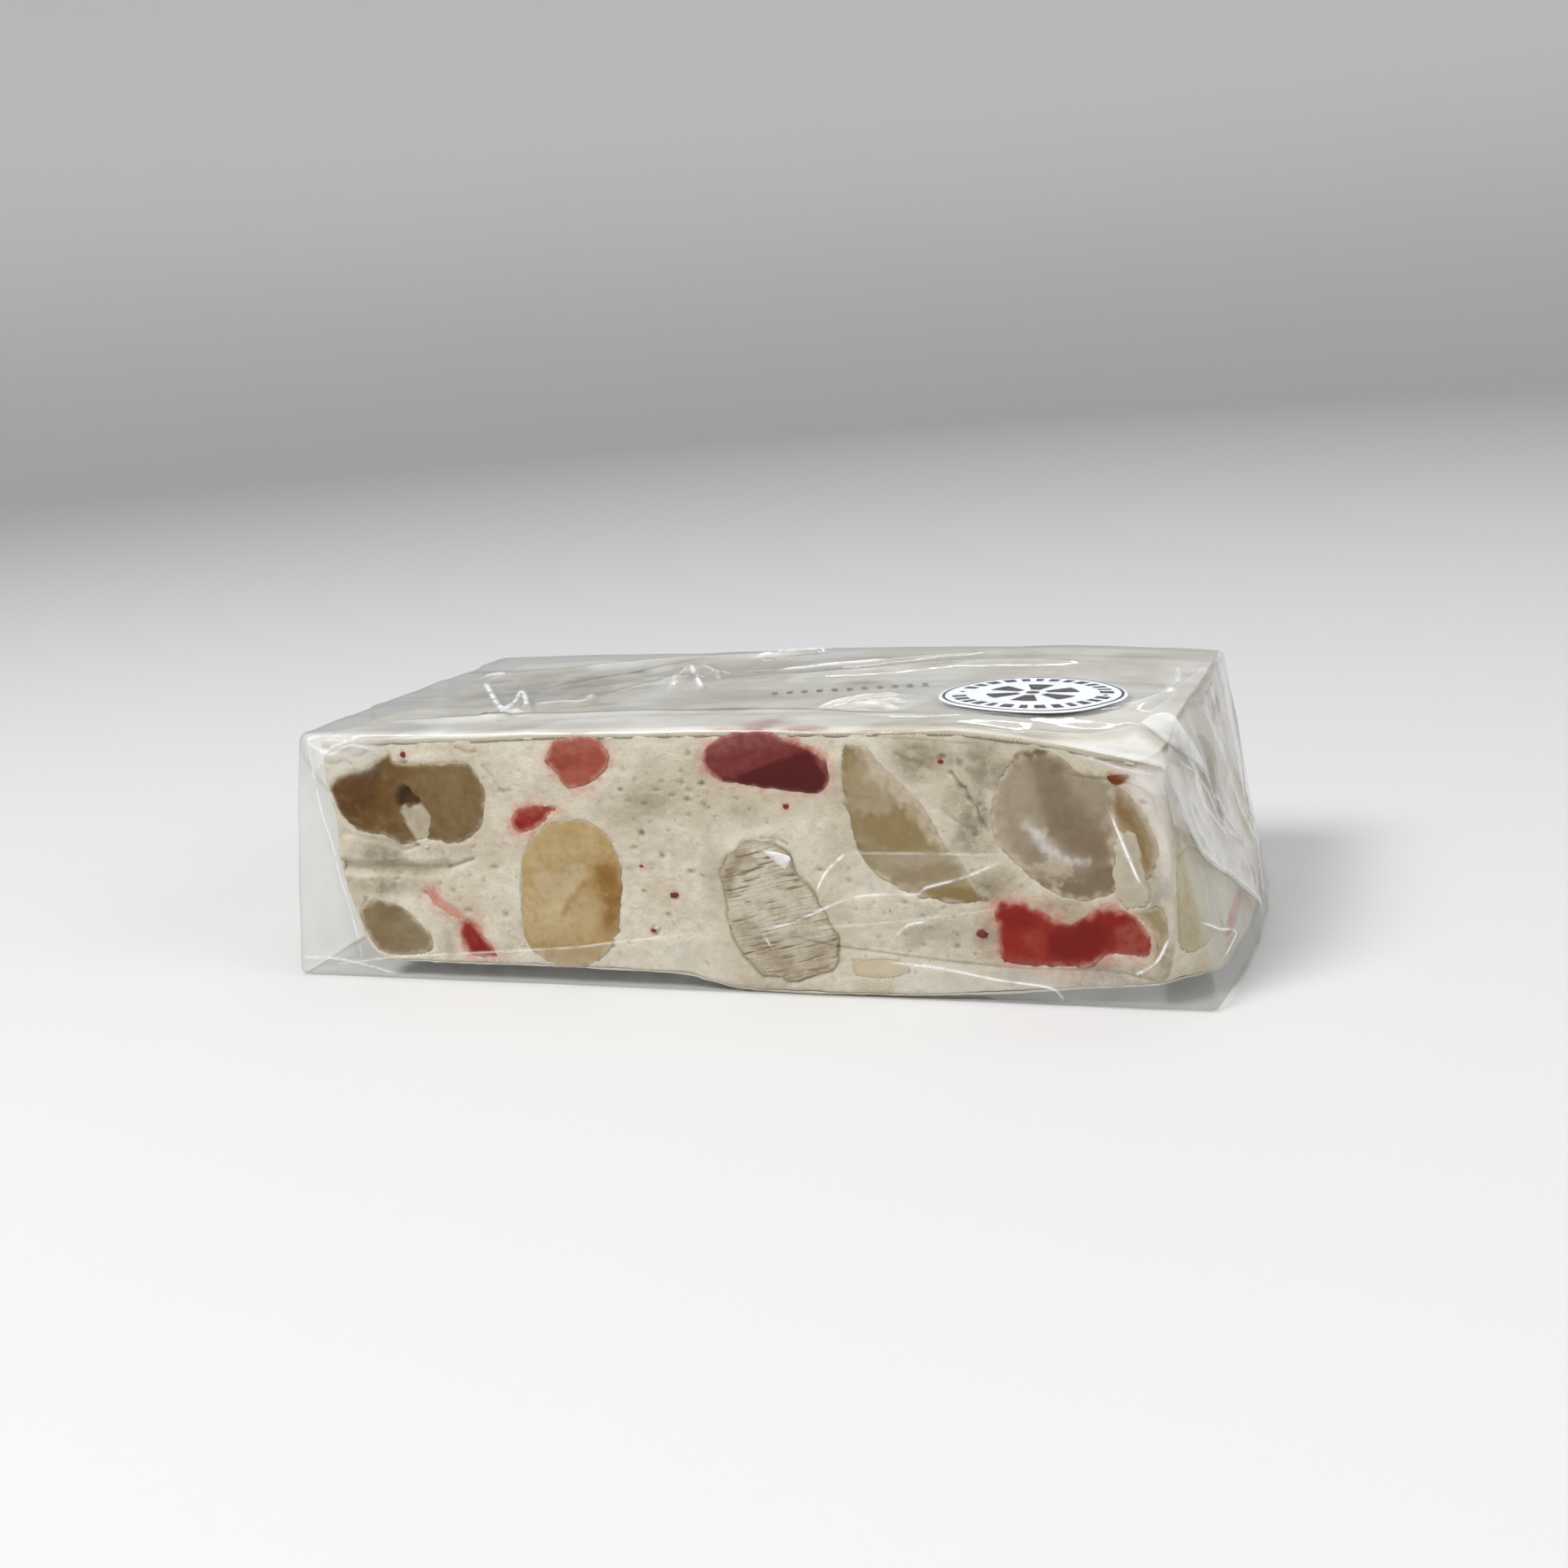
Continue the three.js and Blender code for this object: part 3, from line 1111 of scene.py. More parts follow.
@dataclass(frozen=True)
class BlockForm:
    """The nougat block's form between its wafer sheets."""

    wrap: WrapForm
    width: float = 54.0
    length: float = 100.0
    edge_radius: float = 0.3
    wafer: float = 0.45
    lower_wafer: float = 0.25
    film_gap: float = 0.5
    end_gap: float = 0.9
    corner: float = 8.0
    left_sink: float = 0.5
    headroom: float = 3.0
    tuck: float = 0.12
    flat_ends: Pair = (-52.0, 50.0)
    back_end: float = -50.3
    back_lean: float = 0.4
    back_wave: float = 0.5
    back_wave_width: float = 11.0
    left: Profile = Profile((
        (0.0, -46.1), (0.12, -48.4), (0.35, -50.0), (0.5, -50.6), (0.67, -50.2), (0.82, -51.0), (1.0, -50.9),
    ))
    right: Profile = Profile((
        (0.0, 49.4), (0.08, 50.6), (0.37, 51.2), (0.6, 51.0), (0.8, 50.0), (0.9, 49.0), (1.0, 47.7),
    ))
    foot: Profile = Profile((
        (-52.0, 2.4), (-37.8, 2.1), (-8.8, 2.0), (-2.9, 1.2), (2.1, 0.3), (14.3, 0.2), (24.7, 0.5),
        (33.8, 1.2), (43.7, 2.1), (52.0, 2.9),
    ))
    back_foot: Profile = Profile(((-52.0, 0.9), (-20.0, 0.4), (18.0, 0.3), (40.0, 0.9), (52.0, 1.4)))

    @property
    def height(self) -> float:
        """The plain height that the block is divided over."""
        return self.wrap.height - self.headroom

    @property
    def half(self) -> Array:
        """The half sizes of the plain box."""
        return np.array([self.length, self.width, self.height]) / 2

    def sheet_top(self, x: Array, y: Array) -> Array:
        """Return the height of the upper wafer's face."""
        sink = self.left_sink * ease(-x, 0.0, self.length / 2)
        return self.wrap.top(np.clip(x, *self.flat_ends), y) - self.film_gap - sink

    def sheet_foot(self, x: Array, y: Array) -> Array:
        """Return the height of the lower wafer's face."""
        backward = y / self.width + 0.5
        return self.foot.at(x) * (1 - backward) + self.back_foot.at(x) * backward

    def ends(self, y: Array, share: Array) -> tuple[Array, Array]:
        """Return the X of the left and right ends; the right one turns to follow the film.

        Args:
            y: the places across.
            share: the height, from 0 at the foot to 1 at the top.

        Returns:
            The X of the left end and of the right one.
        """
        back = ease(y, -self.width / 2, self.width / 2)
        wave = self.back_wave * np.sin(y / self.back_wave_width)
        left = self.left.at(share) * (1 - back) + (self.back_end + self.back_lean * share + wave) * back
        turned = np.clip((y + self.width / 2) / self.corner, 0, 1)
        turned = turned * (2 - turned)
        filmed = self.wrap.lean(1, y, 0.04 + 0.92 * share) - self.end_gap
        return left, self.right.at(share) * (1 - turned) + filmed * turned

    def swell(self, points: Array) -> Array:
        """Return how far the cut sides bulge softly in and out."""
        return 0.18 * Grain(11).layered(points, 7.0, 3)

    def span(self, x: Array, y: Array) -> tuple[Array, Array]:
        """Return the heights between which the nougat lies."""
        return self.sheet_foot(x, y) + self.lower_wafer, self.sheet_top(x, y) - self.wafer + self.tuck

    def shape(self, points: Array) -> Array:
        """Move points of the rounded box to their places on the block.

        Args:
            points: the points, one row each.

        Returns:
            The moved points.
        """
        share = np.clip(points[:, 2] / self.height + 0.5, 0, 1)
        left, right = self.ends(points[:, 1], share)
        x = left + (right - left) * (points[:, 0] / self.length + 0.5)
        low, high = self.span(x, points[:, 1])
        return np.column_stack([x, points[:, 1], low + (high - low) * share])

    def on_side(self, side: Side, flat: Array, out: Array) -> Array:
        """Stand places of a cut side in space.

        Args:
            side: the cut side.
            flat: places across and up it, one row each.
            out: how far each one stands out of the side.

        Returns:
            The points.
        """
        points = np.empty((len(flat), 3))
        points[:, 2] = flat[:, 1]
        if side.axis == 1:
            points[:, 0] = flat[:, 0]
            points[:, 1] = side.sign * (self.width / 2 + out)
            return points
        points[:, 1] = flat[:, 0]
        low, high = self.span(np.full(len(flat), side.sign * self.length / 2), flat[:, 0])
        share = np.clip((flat[:, 1] - low) / (high - low), 0, 1)
        points[:, 0] = self.ends(flat[:, 0], share)[(side.sign + 1) // 2] + side.sign * out
        return points


class Tone(Enum):
    """What a patch of a cut nut or fruit turns towards: its deep or pale colour, or nougat."""

    DEEP = "deep"
    PALE = "pale"
    CREAM = "cream"


@dataclass(frozen=True)
class Spot:
    """A patch of a cut nut or fruit that differs from the rest of it."""

    tone: Tone
    strength: float
    points: tuple[Pair, ...]
    depth: float = 0.0
    softness: float = 0.8
    ragged: float = 0.0


@dataclass
class Inclusion:
    """A nut or a piece of fruit that the knife went through, set in a cut side."""

    name: str
    side: Side
    points: tuple[Pair, ...]
    finish: KernelFinish | FruitFinish
    slot: str
    turn: float = 0.0
    proud: float = 0.04
    depth: float = 6.0
    rim: float = 1.3
    ragged: float = 0.06
    fineness: float = 0.34
    spots: tuple[Spot, ...] = ()
    stain: float = 0.0
    lip: float = 0.85
    smear: float = 0.8
    blur: float = 0.06
    groove: float = 0.0

    WALL_STEPS = 7
    WALL_ROUNDNESS = 0.6
    RIM_DROP = 0.08
    BACK_FACTS = {"across": 0.5, "rim": 1.0, "cream": 0.0, "deep": 0.0, "pale": 0.0}

    def loop(self) -> Array:
        """Return the uneven outline that the knife left.

        Returns:
            Its points, anticlockwise, one row each.
        """
        curve = through(np.array(self.points), closed=True, steps=10)
        ahead = np.roll(curve, -1, axis=0) - np.roll(curve, 1, axis=0)
        normal = np.column_stack([ahead[:, 1], -ahead[:, 0]])
        normal /= np.maximum(np.linalg.norm(normal, axis=1, keepdims=True), 1e-9)
        grain = Grain(len(self.name) + round(10 * abs(self.points[0][0])))
        curve = curve + normal * (grain.layered(lifted(curve), 1.6, 3) * self.ragged)[:, None]
        area = 0.5 * np.sum(curve[:, 0] * np.roll(curve[:, 1], -1) - np.roll(curve[:, 0], -1) * curve[:, 1])
        return curve if area > 0 else curve[::-1]

    def face(self, loop: Array) -> tuple[Array, Array]:
        """Divide the cut face inside its outline.

        Args:
            loop: the outline's points.

        Returns:
            The face's places and its triangles.
        """
        middle = (loop.min(axis=0) + loop.max(axis=0)) / 2
        grid = hex_grid((loop.max(axis=0) - loop.min(axis=0)) / 2, self.fineness) + middle
        grid = grid[depth_inside(loop, grid, 1.0) > self.fineness * 0.45]
        places = np.vstack([loop, grid])
        return places, triangulate(places, len(loop))

    def build(self, block: BlockForm) -> Skin:
        """Make the piece: its cut face, and its rounded back sunk in the nougat.

        Args:
            block: the form of the block that it is set in.

        Returns:
            The piece's skin.
        """
        loop = self.loop()
        places, faces = self.face(loop)
        inside = depth_inside(loop, places, 1.5).clip(0)
        inside[: len(loop)] = 0
        centre = places.mean(axis=0)
        grain = Grain(len(self.points) + round(abs(centre[0])))
        flat = lifted(places)
        wander = grain.layered(flat, 1.4, 3)
        torn = grain.layered(flat + 30.0, np.array([0.9, 1.6, 1.0]), 2)
        level = block.swell(block.on_side(self.side, places, np.zeros(len(places))))
        out = self.proud + level + 0.06 * grain.layered(flat, 2.4, 3)
        out = out - self.RIM_DROP * ease(-inside, -0.4, 0.0)
        heading = np.array([math.cos(math.radians(self.turn)), math.sin(math.radians(self.turn))])
        across = (places - centre) @ heading
        across = (across - across.min()) / (across.max() - across.min())
        smear = ease(-inside - 0.45 * self.smear * wander, -self.smear, 0.05) * self.lip
        facts = {"across": across, "rim": 1 - np.clip(inside / self.rim, 0, 1), "cream": smear}
        facts["deep"], facts["pale"] = np.zeros(len(places)), np.zeros(len(places))
        for spot in self.spots:
            patch = through(np.array(spot.points), closed=True, steps=6)
            reach = depth_inside(patch, places, 2.0) + 0.6 * wander * min(1.0, spot.softness)
            reach = reach + spot.ragged * torn
            share = ease(reach, -spot.softness / 2, spot.softness / 2)
            for tone in Tone:
                keep = facts[tone.value] * (1 - share * (tone is not spot.tone))
                gain = spot.strength * share * (tone is spot.tone)
                facts[tone.value] = np.maximum(keep, gain)
            out = out - spot.depth * share
        points = [block.on_side(self.side, places, out)]
        for step in range(1, self.WALL_STEPS + 1):
            angle = step / self.WALL_STEPS * math.pi / 2
            ring = centre + (loop - centre) * math.cos(angle) ** self.WALL_ROUNDNESS
            if step == self.WALL_STEPS:
                ring = centre[None]
            depth = self.proud - self.RIM_DROP - self.depth * math.sin(angle)
            points.append(block.on_side(self.side, ring, np.full(len(ring), depth)))
        rings = [np.arange(len(loop)), *numbered(points)[1:]]
        triangles = self.side.outward(np.vstack([faces, walls(rings)]))
        everything = np.vstack(points)
        extra = len(everything) - len(places)
        facts = {fact: np.concatenate([facts[fact], np.full(extra, behind)])
                 for fact, behind in self.BACK_FACTS.items()}
        return Skin(everything, triangles, facts)


@dataclass
class NougatBlock:
    """The nougat itself: a cut block with pores, cracks and a socket round each nut and fruit."""

    form: BlockForm
    inclusions: list[Inclusion]
    scars: tuple[Scar, ...]
    tone_and_painted_shade: Blotches
    specks: tuple[Triple, ...]
    pits: tuple[tuple[float, float, float, float], ...]
    front_spacing: float = 0.28
    plain_spacing: float = 0.40
    hidden_spacing: float = 1.6
    socket_depth: float = 1.4
    pores: int = 230
    pore_band: Pair = (3, 29)

    EDGE_STEP = 0.4
    EDGE_ROWS = (0.18, 0.45)
    SPECK_BLEED = 0.3
    FRUIT_BLEED = 0.5
    SOCKET_LIP = 0.2
    SOCKET_SLOPE = 0.3
    RIM_SWELL = 0.03
    GROOVE_DEPTH = 0.35
    PORE_LEAST = 0.16
    PORE_SPREAD = 0.42
    PORE_DEPTH = 0.7

    def relief(self, base: Array, facing: Array) -> tuple[Array, dict[str, Array]]:
        """Work out the surface's small relief.

        Args:
            base: the block's smooth points.
            facing: the direction in which each one faces.

        Returns:
            How far each point stands out, and its facts for painted shade in pits and cracks, fruit stain,
            and darker places that are partly painted shade.
        """
        rough, fine = Grain(12), Grain(13)
        # The shade fact: random darkening on the sides away from the front, and ovals that are partly darker
        # nougat and partly painted shade under folds.
        shade = 0.4 * ease(Grain(19).layered(base, 15.0, 2), 0.2, 0.7) * ease(facing[:, 1], -0.5, 0.5)
        shade = np.maximum(shade, blotches(self.tone_and_painted_shade, base[:, [0, 2]], facing[:, 1] < -0.3, 19))
        torn = np.maximum(0.6 * ease(rough.layered(base + 40.0, 11.0, 2), 0.0, 0.5), 0.7 * shade)
        curd = rough.layered(base, 2.6, 2)
        grit = fine.layered(base + 9.0, np.array([1.5, 1.5, 1.1]), 1)
        crack = ease(-np.abs(rough.layered(base + 70.0, np.array([5.0, 5.0, 3.2]), 3)), -0.13, 0.0) * torn
        out = self.form.swell(base) + 0.1 * curd - 0.06 * crack
        out = out + (0.055 + 0.07 * torn) * np.where(grit > 0, 0.6, 1.3) * grit
        # Painted shade in the troughs of the grit and along cracks.
        pore = np.maximum((0.04 + 0.3 * torn) * ease(-grit, 0.3, 1.0), 0.16 * crack * shade)
        stain = np.zeros(len(base))
        front = np.flatnonzero(facing[:, 1] < -0.3)
        for x, z, radius in self.specks:
            gap = np.hypot(base[front, 0] - x, base[front, 2] - z) - radius
            stain[front] = np.maximum(stain[front], 0.5 * np.exp(-np.maximum(gap, 0) / self.SPECK_BLEED))
        for side in CUT_SIDES:
            on_it = np.flatnonzero(facing[:, side.axis] * side.sign > 0.3)
            places = side.flat(base[on_it])
            drop, dark = self.pitting(side, places)
            out[on_it] -= drop
            pore[on_it] = np.maximum(pore[on_it], dark)
            for piece in self.inclusions:
                if piece.side is not side:
                    continue
                wander = fine.layered(base[on_it], 2.0, 2)
                inside = depth_inside(piece.loop(), places, 3.0)
                lip = self.SOCKET_LIP + piece.blur * wander
                out[on_it] -= self.socket_depth * ease(inside, lip, lip + self.SOCKET_SLOPE)
                out[on_it] += self.RIM_SWELL * ease(-np.abs(inside + 0.5), -0.6, 0.0)
                reach = np.minimum(inside + 0.2 + 0.7 * wander, 0)
                bleed = piece.stain * np.exp(reach / self.FRUIT_BLEED)
                stain[on_it] = np.maximum(stain[on_it], bleed)
                # Painted shade in the groove round the piece.
                groove = ease(-np.abs(inside - 0.05 - 0.3 * wander), -0.42, -0.05) * piece.groove
                groove = groove * ease(rough.layered(base[on_it] + 20.0, 3.0, 2), -0.6, 0.1)
                pore[on_it] = np.maximum(pore[on_it], groove)
                out[on_it] -= self.GROOVE_DEPTH * groove
        return out, {"pore": pore, "stain": stain, "shade": shade}

    def pitting(self, side: Side, places: Array) -> tuple[Array, Array]:
        """Work out the pores, grooves and cracks of one side.

        Args:
            side: the cut side.
            places: places across and up it.

        Returns:
            How deep each place lies, and how dark the painted shade in it is.
        """
        drop, dark = np.zeros(len(places)), np.zeros(len(places))
        random = np.random.default_rng(31 + 7 * side.axis + side.sign)
        half = self.form.half[1 - side.axis]
        crowd = Grain(17)
        count = round(self.pores * half / 50)
        tried = 4 * count
        across = random.uniform(-half, half, tried)
        centres = np.column_stack([across, random.uniform(*self.pore_band, tried)])
        crowding = crowd.at(lifted(centres) + (0, 0, 5.0 * side.sign), 13.0)
        centres = centres[np.argsort(random.normal(0, 0.25, tried) - crowding)][:count]
        pores = [
            (*centre, self.PORE_LEAST + self.PORE_SPREAD * random.random() ** 3, random.uniform(0.15, 0.6))
            for centre in centres
        ]
        for across, up, radius, darkness in pores + list(self.pits if side is Side.FRONT else ()):
            centre = np.array((across, up))
            near = np.flatnonzero(np.abs(places - centre).max(axis=1) < 3 * radius)
            gap = np.linalg.norm((places[near] - centre) * (1.0, random.uniform(1.0, 2.2)), axis=1)
            shift = crowd.at(lifted(places[near]) + (0, 0, across), 0.7)
            bowl = ease(-gap - 0.5 * radius * shift, -radius * 1.4, -radius * 0.2)
            drop[near] += bowl * radius * self.PORE_DEPTH
            dark[near] = np.maximum(dark[near], bowl * darkness)
        for scar in self.scars:
            if scar.side is not side:
                continue
            line = through(np.array(scar.points), closed=False, steps=6)
            gap = np.min([from_line(start, end, places)[0] for start, end in zip(line, line[1:])], axis=0)
            bowl = ease(-gap, -scar.width, 0.0)
            drop += bowl * scar.depth
            dark = np.maximum(dark, bowl ** 2 * scar.darkness)
        return drop, dark

    def build(self) -> Skin:
        """Make the block's skin, with its facts for painted shade in pits and cracks, fruit stains, and
        darker places that are partly painted shade.

        Returns:
            The block's skin.
        """
        spacing = {side.value: self.plain_spacing for side in Side}
        spacing[1, -1] = self.front_spacing
        spacing[2, -1] = spacing[2, 1] = self.hidden_spacing
        box = BoxSkin(self.form.half, self.EDGE_STEP, self.EDGE_ROWS, spacing)
        plain, triangles = box.build()
        rounded, facing = round_box(plain, self.form.half, self.form.edge_radius)
        base = self.form.shape(rounded)
        out, facts = self.relief(base, facing)
        return Skin(base + facing * out[:, None], triangles, facts)


@dataclass
class WaferSheet:
    """A thin edible sheet over the top or the foot of the block."""

    form: BlockForm
    upper: bool
    spacing: float
    shade_and_show_through: Blotches
    stains: Blotches
    overhang: float = 0.02
    edge_radius: float = 0.11
    edge_spacing: float = 0.3
    hidden_spacing: float = 2.5
    rim_reach: float = 0.34

    EDGE_STEP = 0.5
    EDGE_ROWS = (0.12,)
    DENTS = 0.045
    SWELL = 0.14
    PITS = 0.09
    RAGGED = 0.05

    @property
    def thickness(self) -> float:
        """How thick the sheet is."""
        return self.form.wafer if self.upper else self.form.lower_wafer

    @property
    def half(self) -> Array:
        """The half sizes of the plain sheet."""
        form = self.form
        return np.array([form.length / 2, form.width / 2 + self.overhang, self.thickness / 2])

    def shape(self, points: Array) -> Array:
        """Lay points of the plain sheet on the block.

        Args:
            points: the points, one row each.

        Returns:
            The moved points.
        """
        form = self.form
        share = np.full(len(points), 1.0 if self.upper else 0.0)
        left, right = form.ends(points[:, 1], share)
        along = points[:, 0] / form.length + 0.5
        x = left - self.overhang + (right - left + 2 * self.overhang) * along
        y = points[:, 1]
        lift = points[:, 2] + self.thickness / 2
        z = form.sheet_top(x, y) - form.wafer + lift if self.upper else form.sheet_foot(x, y) + lift
        return np.column_stack([x, y, z])

    def build(self) -> Skin:
        """Make the sheet's skin, with its facts for painted shade and darker show-through, fruit stain and
        cut edges.

        Returns:
            The sheet's skin.
        """
        spacing = {side.value: self.edge_spacing for side in Side}
        spacing[2, -1] = self.hidden_spacing if self.upper else self.spacing
        spacing[2, 1] = self.spacing if self.upper else self.hidden_spacing
        plain, triangles = BoxSkin(self.half, self.EDGE_STEP, self.EDGE_ROWS, spacing).build()
        rounded, facing = round_box(plain, self.half, self.edge_radius)
        base = self.shape(rounded)
        dents, swell = Grain(23 + self.upper), Grain(25 + self.upper)
        flat = base * (1, 1, 0)
        out = self.DENTS * dents.layered(flat, 1.1, 2) + self.SWELL * swell.layered(flat, 12.0, 2)
        pits = ease(dents.at(flat + 70, 0.9), 0.42, 0.75)
        out = out - self.PITS * pits
        ragged = self.RAGGED * dents.layered(base, 3.0, 3) + self.form.swell(base)
        rim = np.linalg.norm(facing[:, :2], axis=1)
        if self.upper:
            out = out - self.rim_reach * ease(-plain[:, 2], 0.0, 0.2) * ease(rim, 0.2, 0.9)
        points = base + np.column_stack([facing[:, :2] * ragged[:, None], out])
        # Partly painted shade, partly what lies under the sheet showing through.
        shadow = blotches(self.shade_and_show_through, base[:, :2], facing[:, 2] != 0, 25)
        stain = blotches(self.stains, base[:, :2], facing[:, 2] != 0, 26)
        return Skin(points, triangles, {"shadow": shadow, "stain": stain, "edge": ease(rim, 0.05, 0.6) * 0.9})


# ---------------------------------------------------------------- small loose things


@dataclass(frozen=True)
class Scatter:
    """Many small lumps on the cut sides, joined into one piece."""

    places: tuple[tuple[Side, float, float, float], ...]
    seed: int
    facts: tuple[str, ...]
    squash: float = 0.6
    lift: float = 0.1

    TURNS = 8
    TILTS = 6

    def lump(self, radius: float, random: np.random.Generator) -> tuple[Array, Array]:
        """Make one uneven lump.

        Args:
            radius: its radius.
            random: where its unevenness comes from.

        Returns:
            Its points round the origin, and its triangles.
        """
        turns = np.linspace(0, 2 * math.pi, self.TURNS, endpoint=False)
        tilts = np.linspace(0, math.pi, self.TILTS)[1:-1]
        rings = [np.array([(math.sin(tilt) * math.cos(turn), math.sin(tilt) * math.sin(turn), math.cos(tilt))
                           for turn in turns]) for tilt in tilts]
        rings = [np.array([(0, 0, 1)]), *rings, np.array([(0, 0, -1)])]
        points = np.vstack(rings)
        return points * (radius * random.uniform(0.72, 1.15, len(points)))[:, None], walls(numbered(rings))

    def build(self, block: BlockForm) -> Skin:
        """Make all the lumps and stand them on the block's sides.

        Args:
            block: the form of the block.

        Returns:
            The lumps' skin.
        """
        random = np.random.default_rng(self.seed)
        skins = []
        for side, across, up, radius in self.places:
            points, triangles = self.lump(radius, random)
            stretch = random.uniform(0.8, 1.7)
            flat = np.column_stack([points[:, 0] * stretch + across, points[:, 1] + up])
            placed = block.on_side(side, flat, points[:, 2] * self.squash + self.lift * radius)
            facts = {fact: np.zeros(len(points)) for fact in self.facts}
            skins.append(Skin(placed, side.outward(triangles), facts))
        return join(skins)


# ---------------------------------------------------------------- the clear film


@dataclass(frozen=True)
class Crease:
    """A sharp fold line in the film.

    Args:
        face: the face that its points lie on.
        points: places over that face in millimetres: (x, z), (y, z) or (x, y).
        height: how far its crest stands out, or in where it is negative.
        width: how far its two slopes reach.
        white: how much its crest is whitened, partly as a painted highlight, or greyed as painted shade where
            it is negative.
        line: how far the whitening reaches from the crest.
    """

    face: Side
    points: tuple[Pair, ...]
    height: float = 0.3
    width: float = 2.0
    white: float = 0.5
    line: float = 0.2


@dataclass(frozen=True)
class Veil:
    """A patch where the film looks milky: partly from a second layer or fine crinkles, partly a painted
    reflection and glare.

    Args:
        face: the face that it lies on.
        strength: how milky it is.
        points: its outline over that face in millimetres.
        softness: how wide its edge is.
    """

    face: Side
    strength: float
    points: tuple[Pair, ...]
    softness: float = 1.0


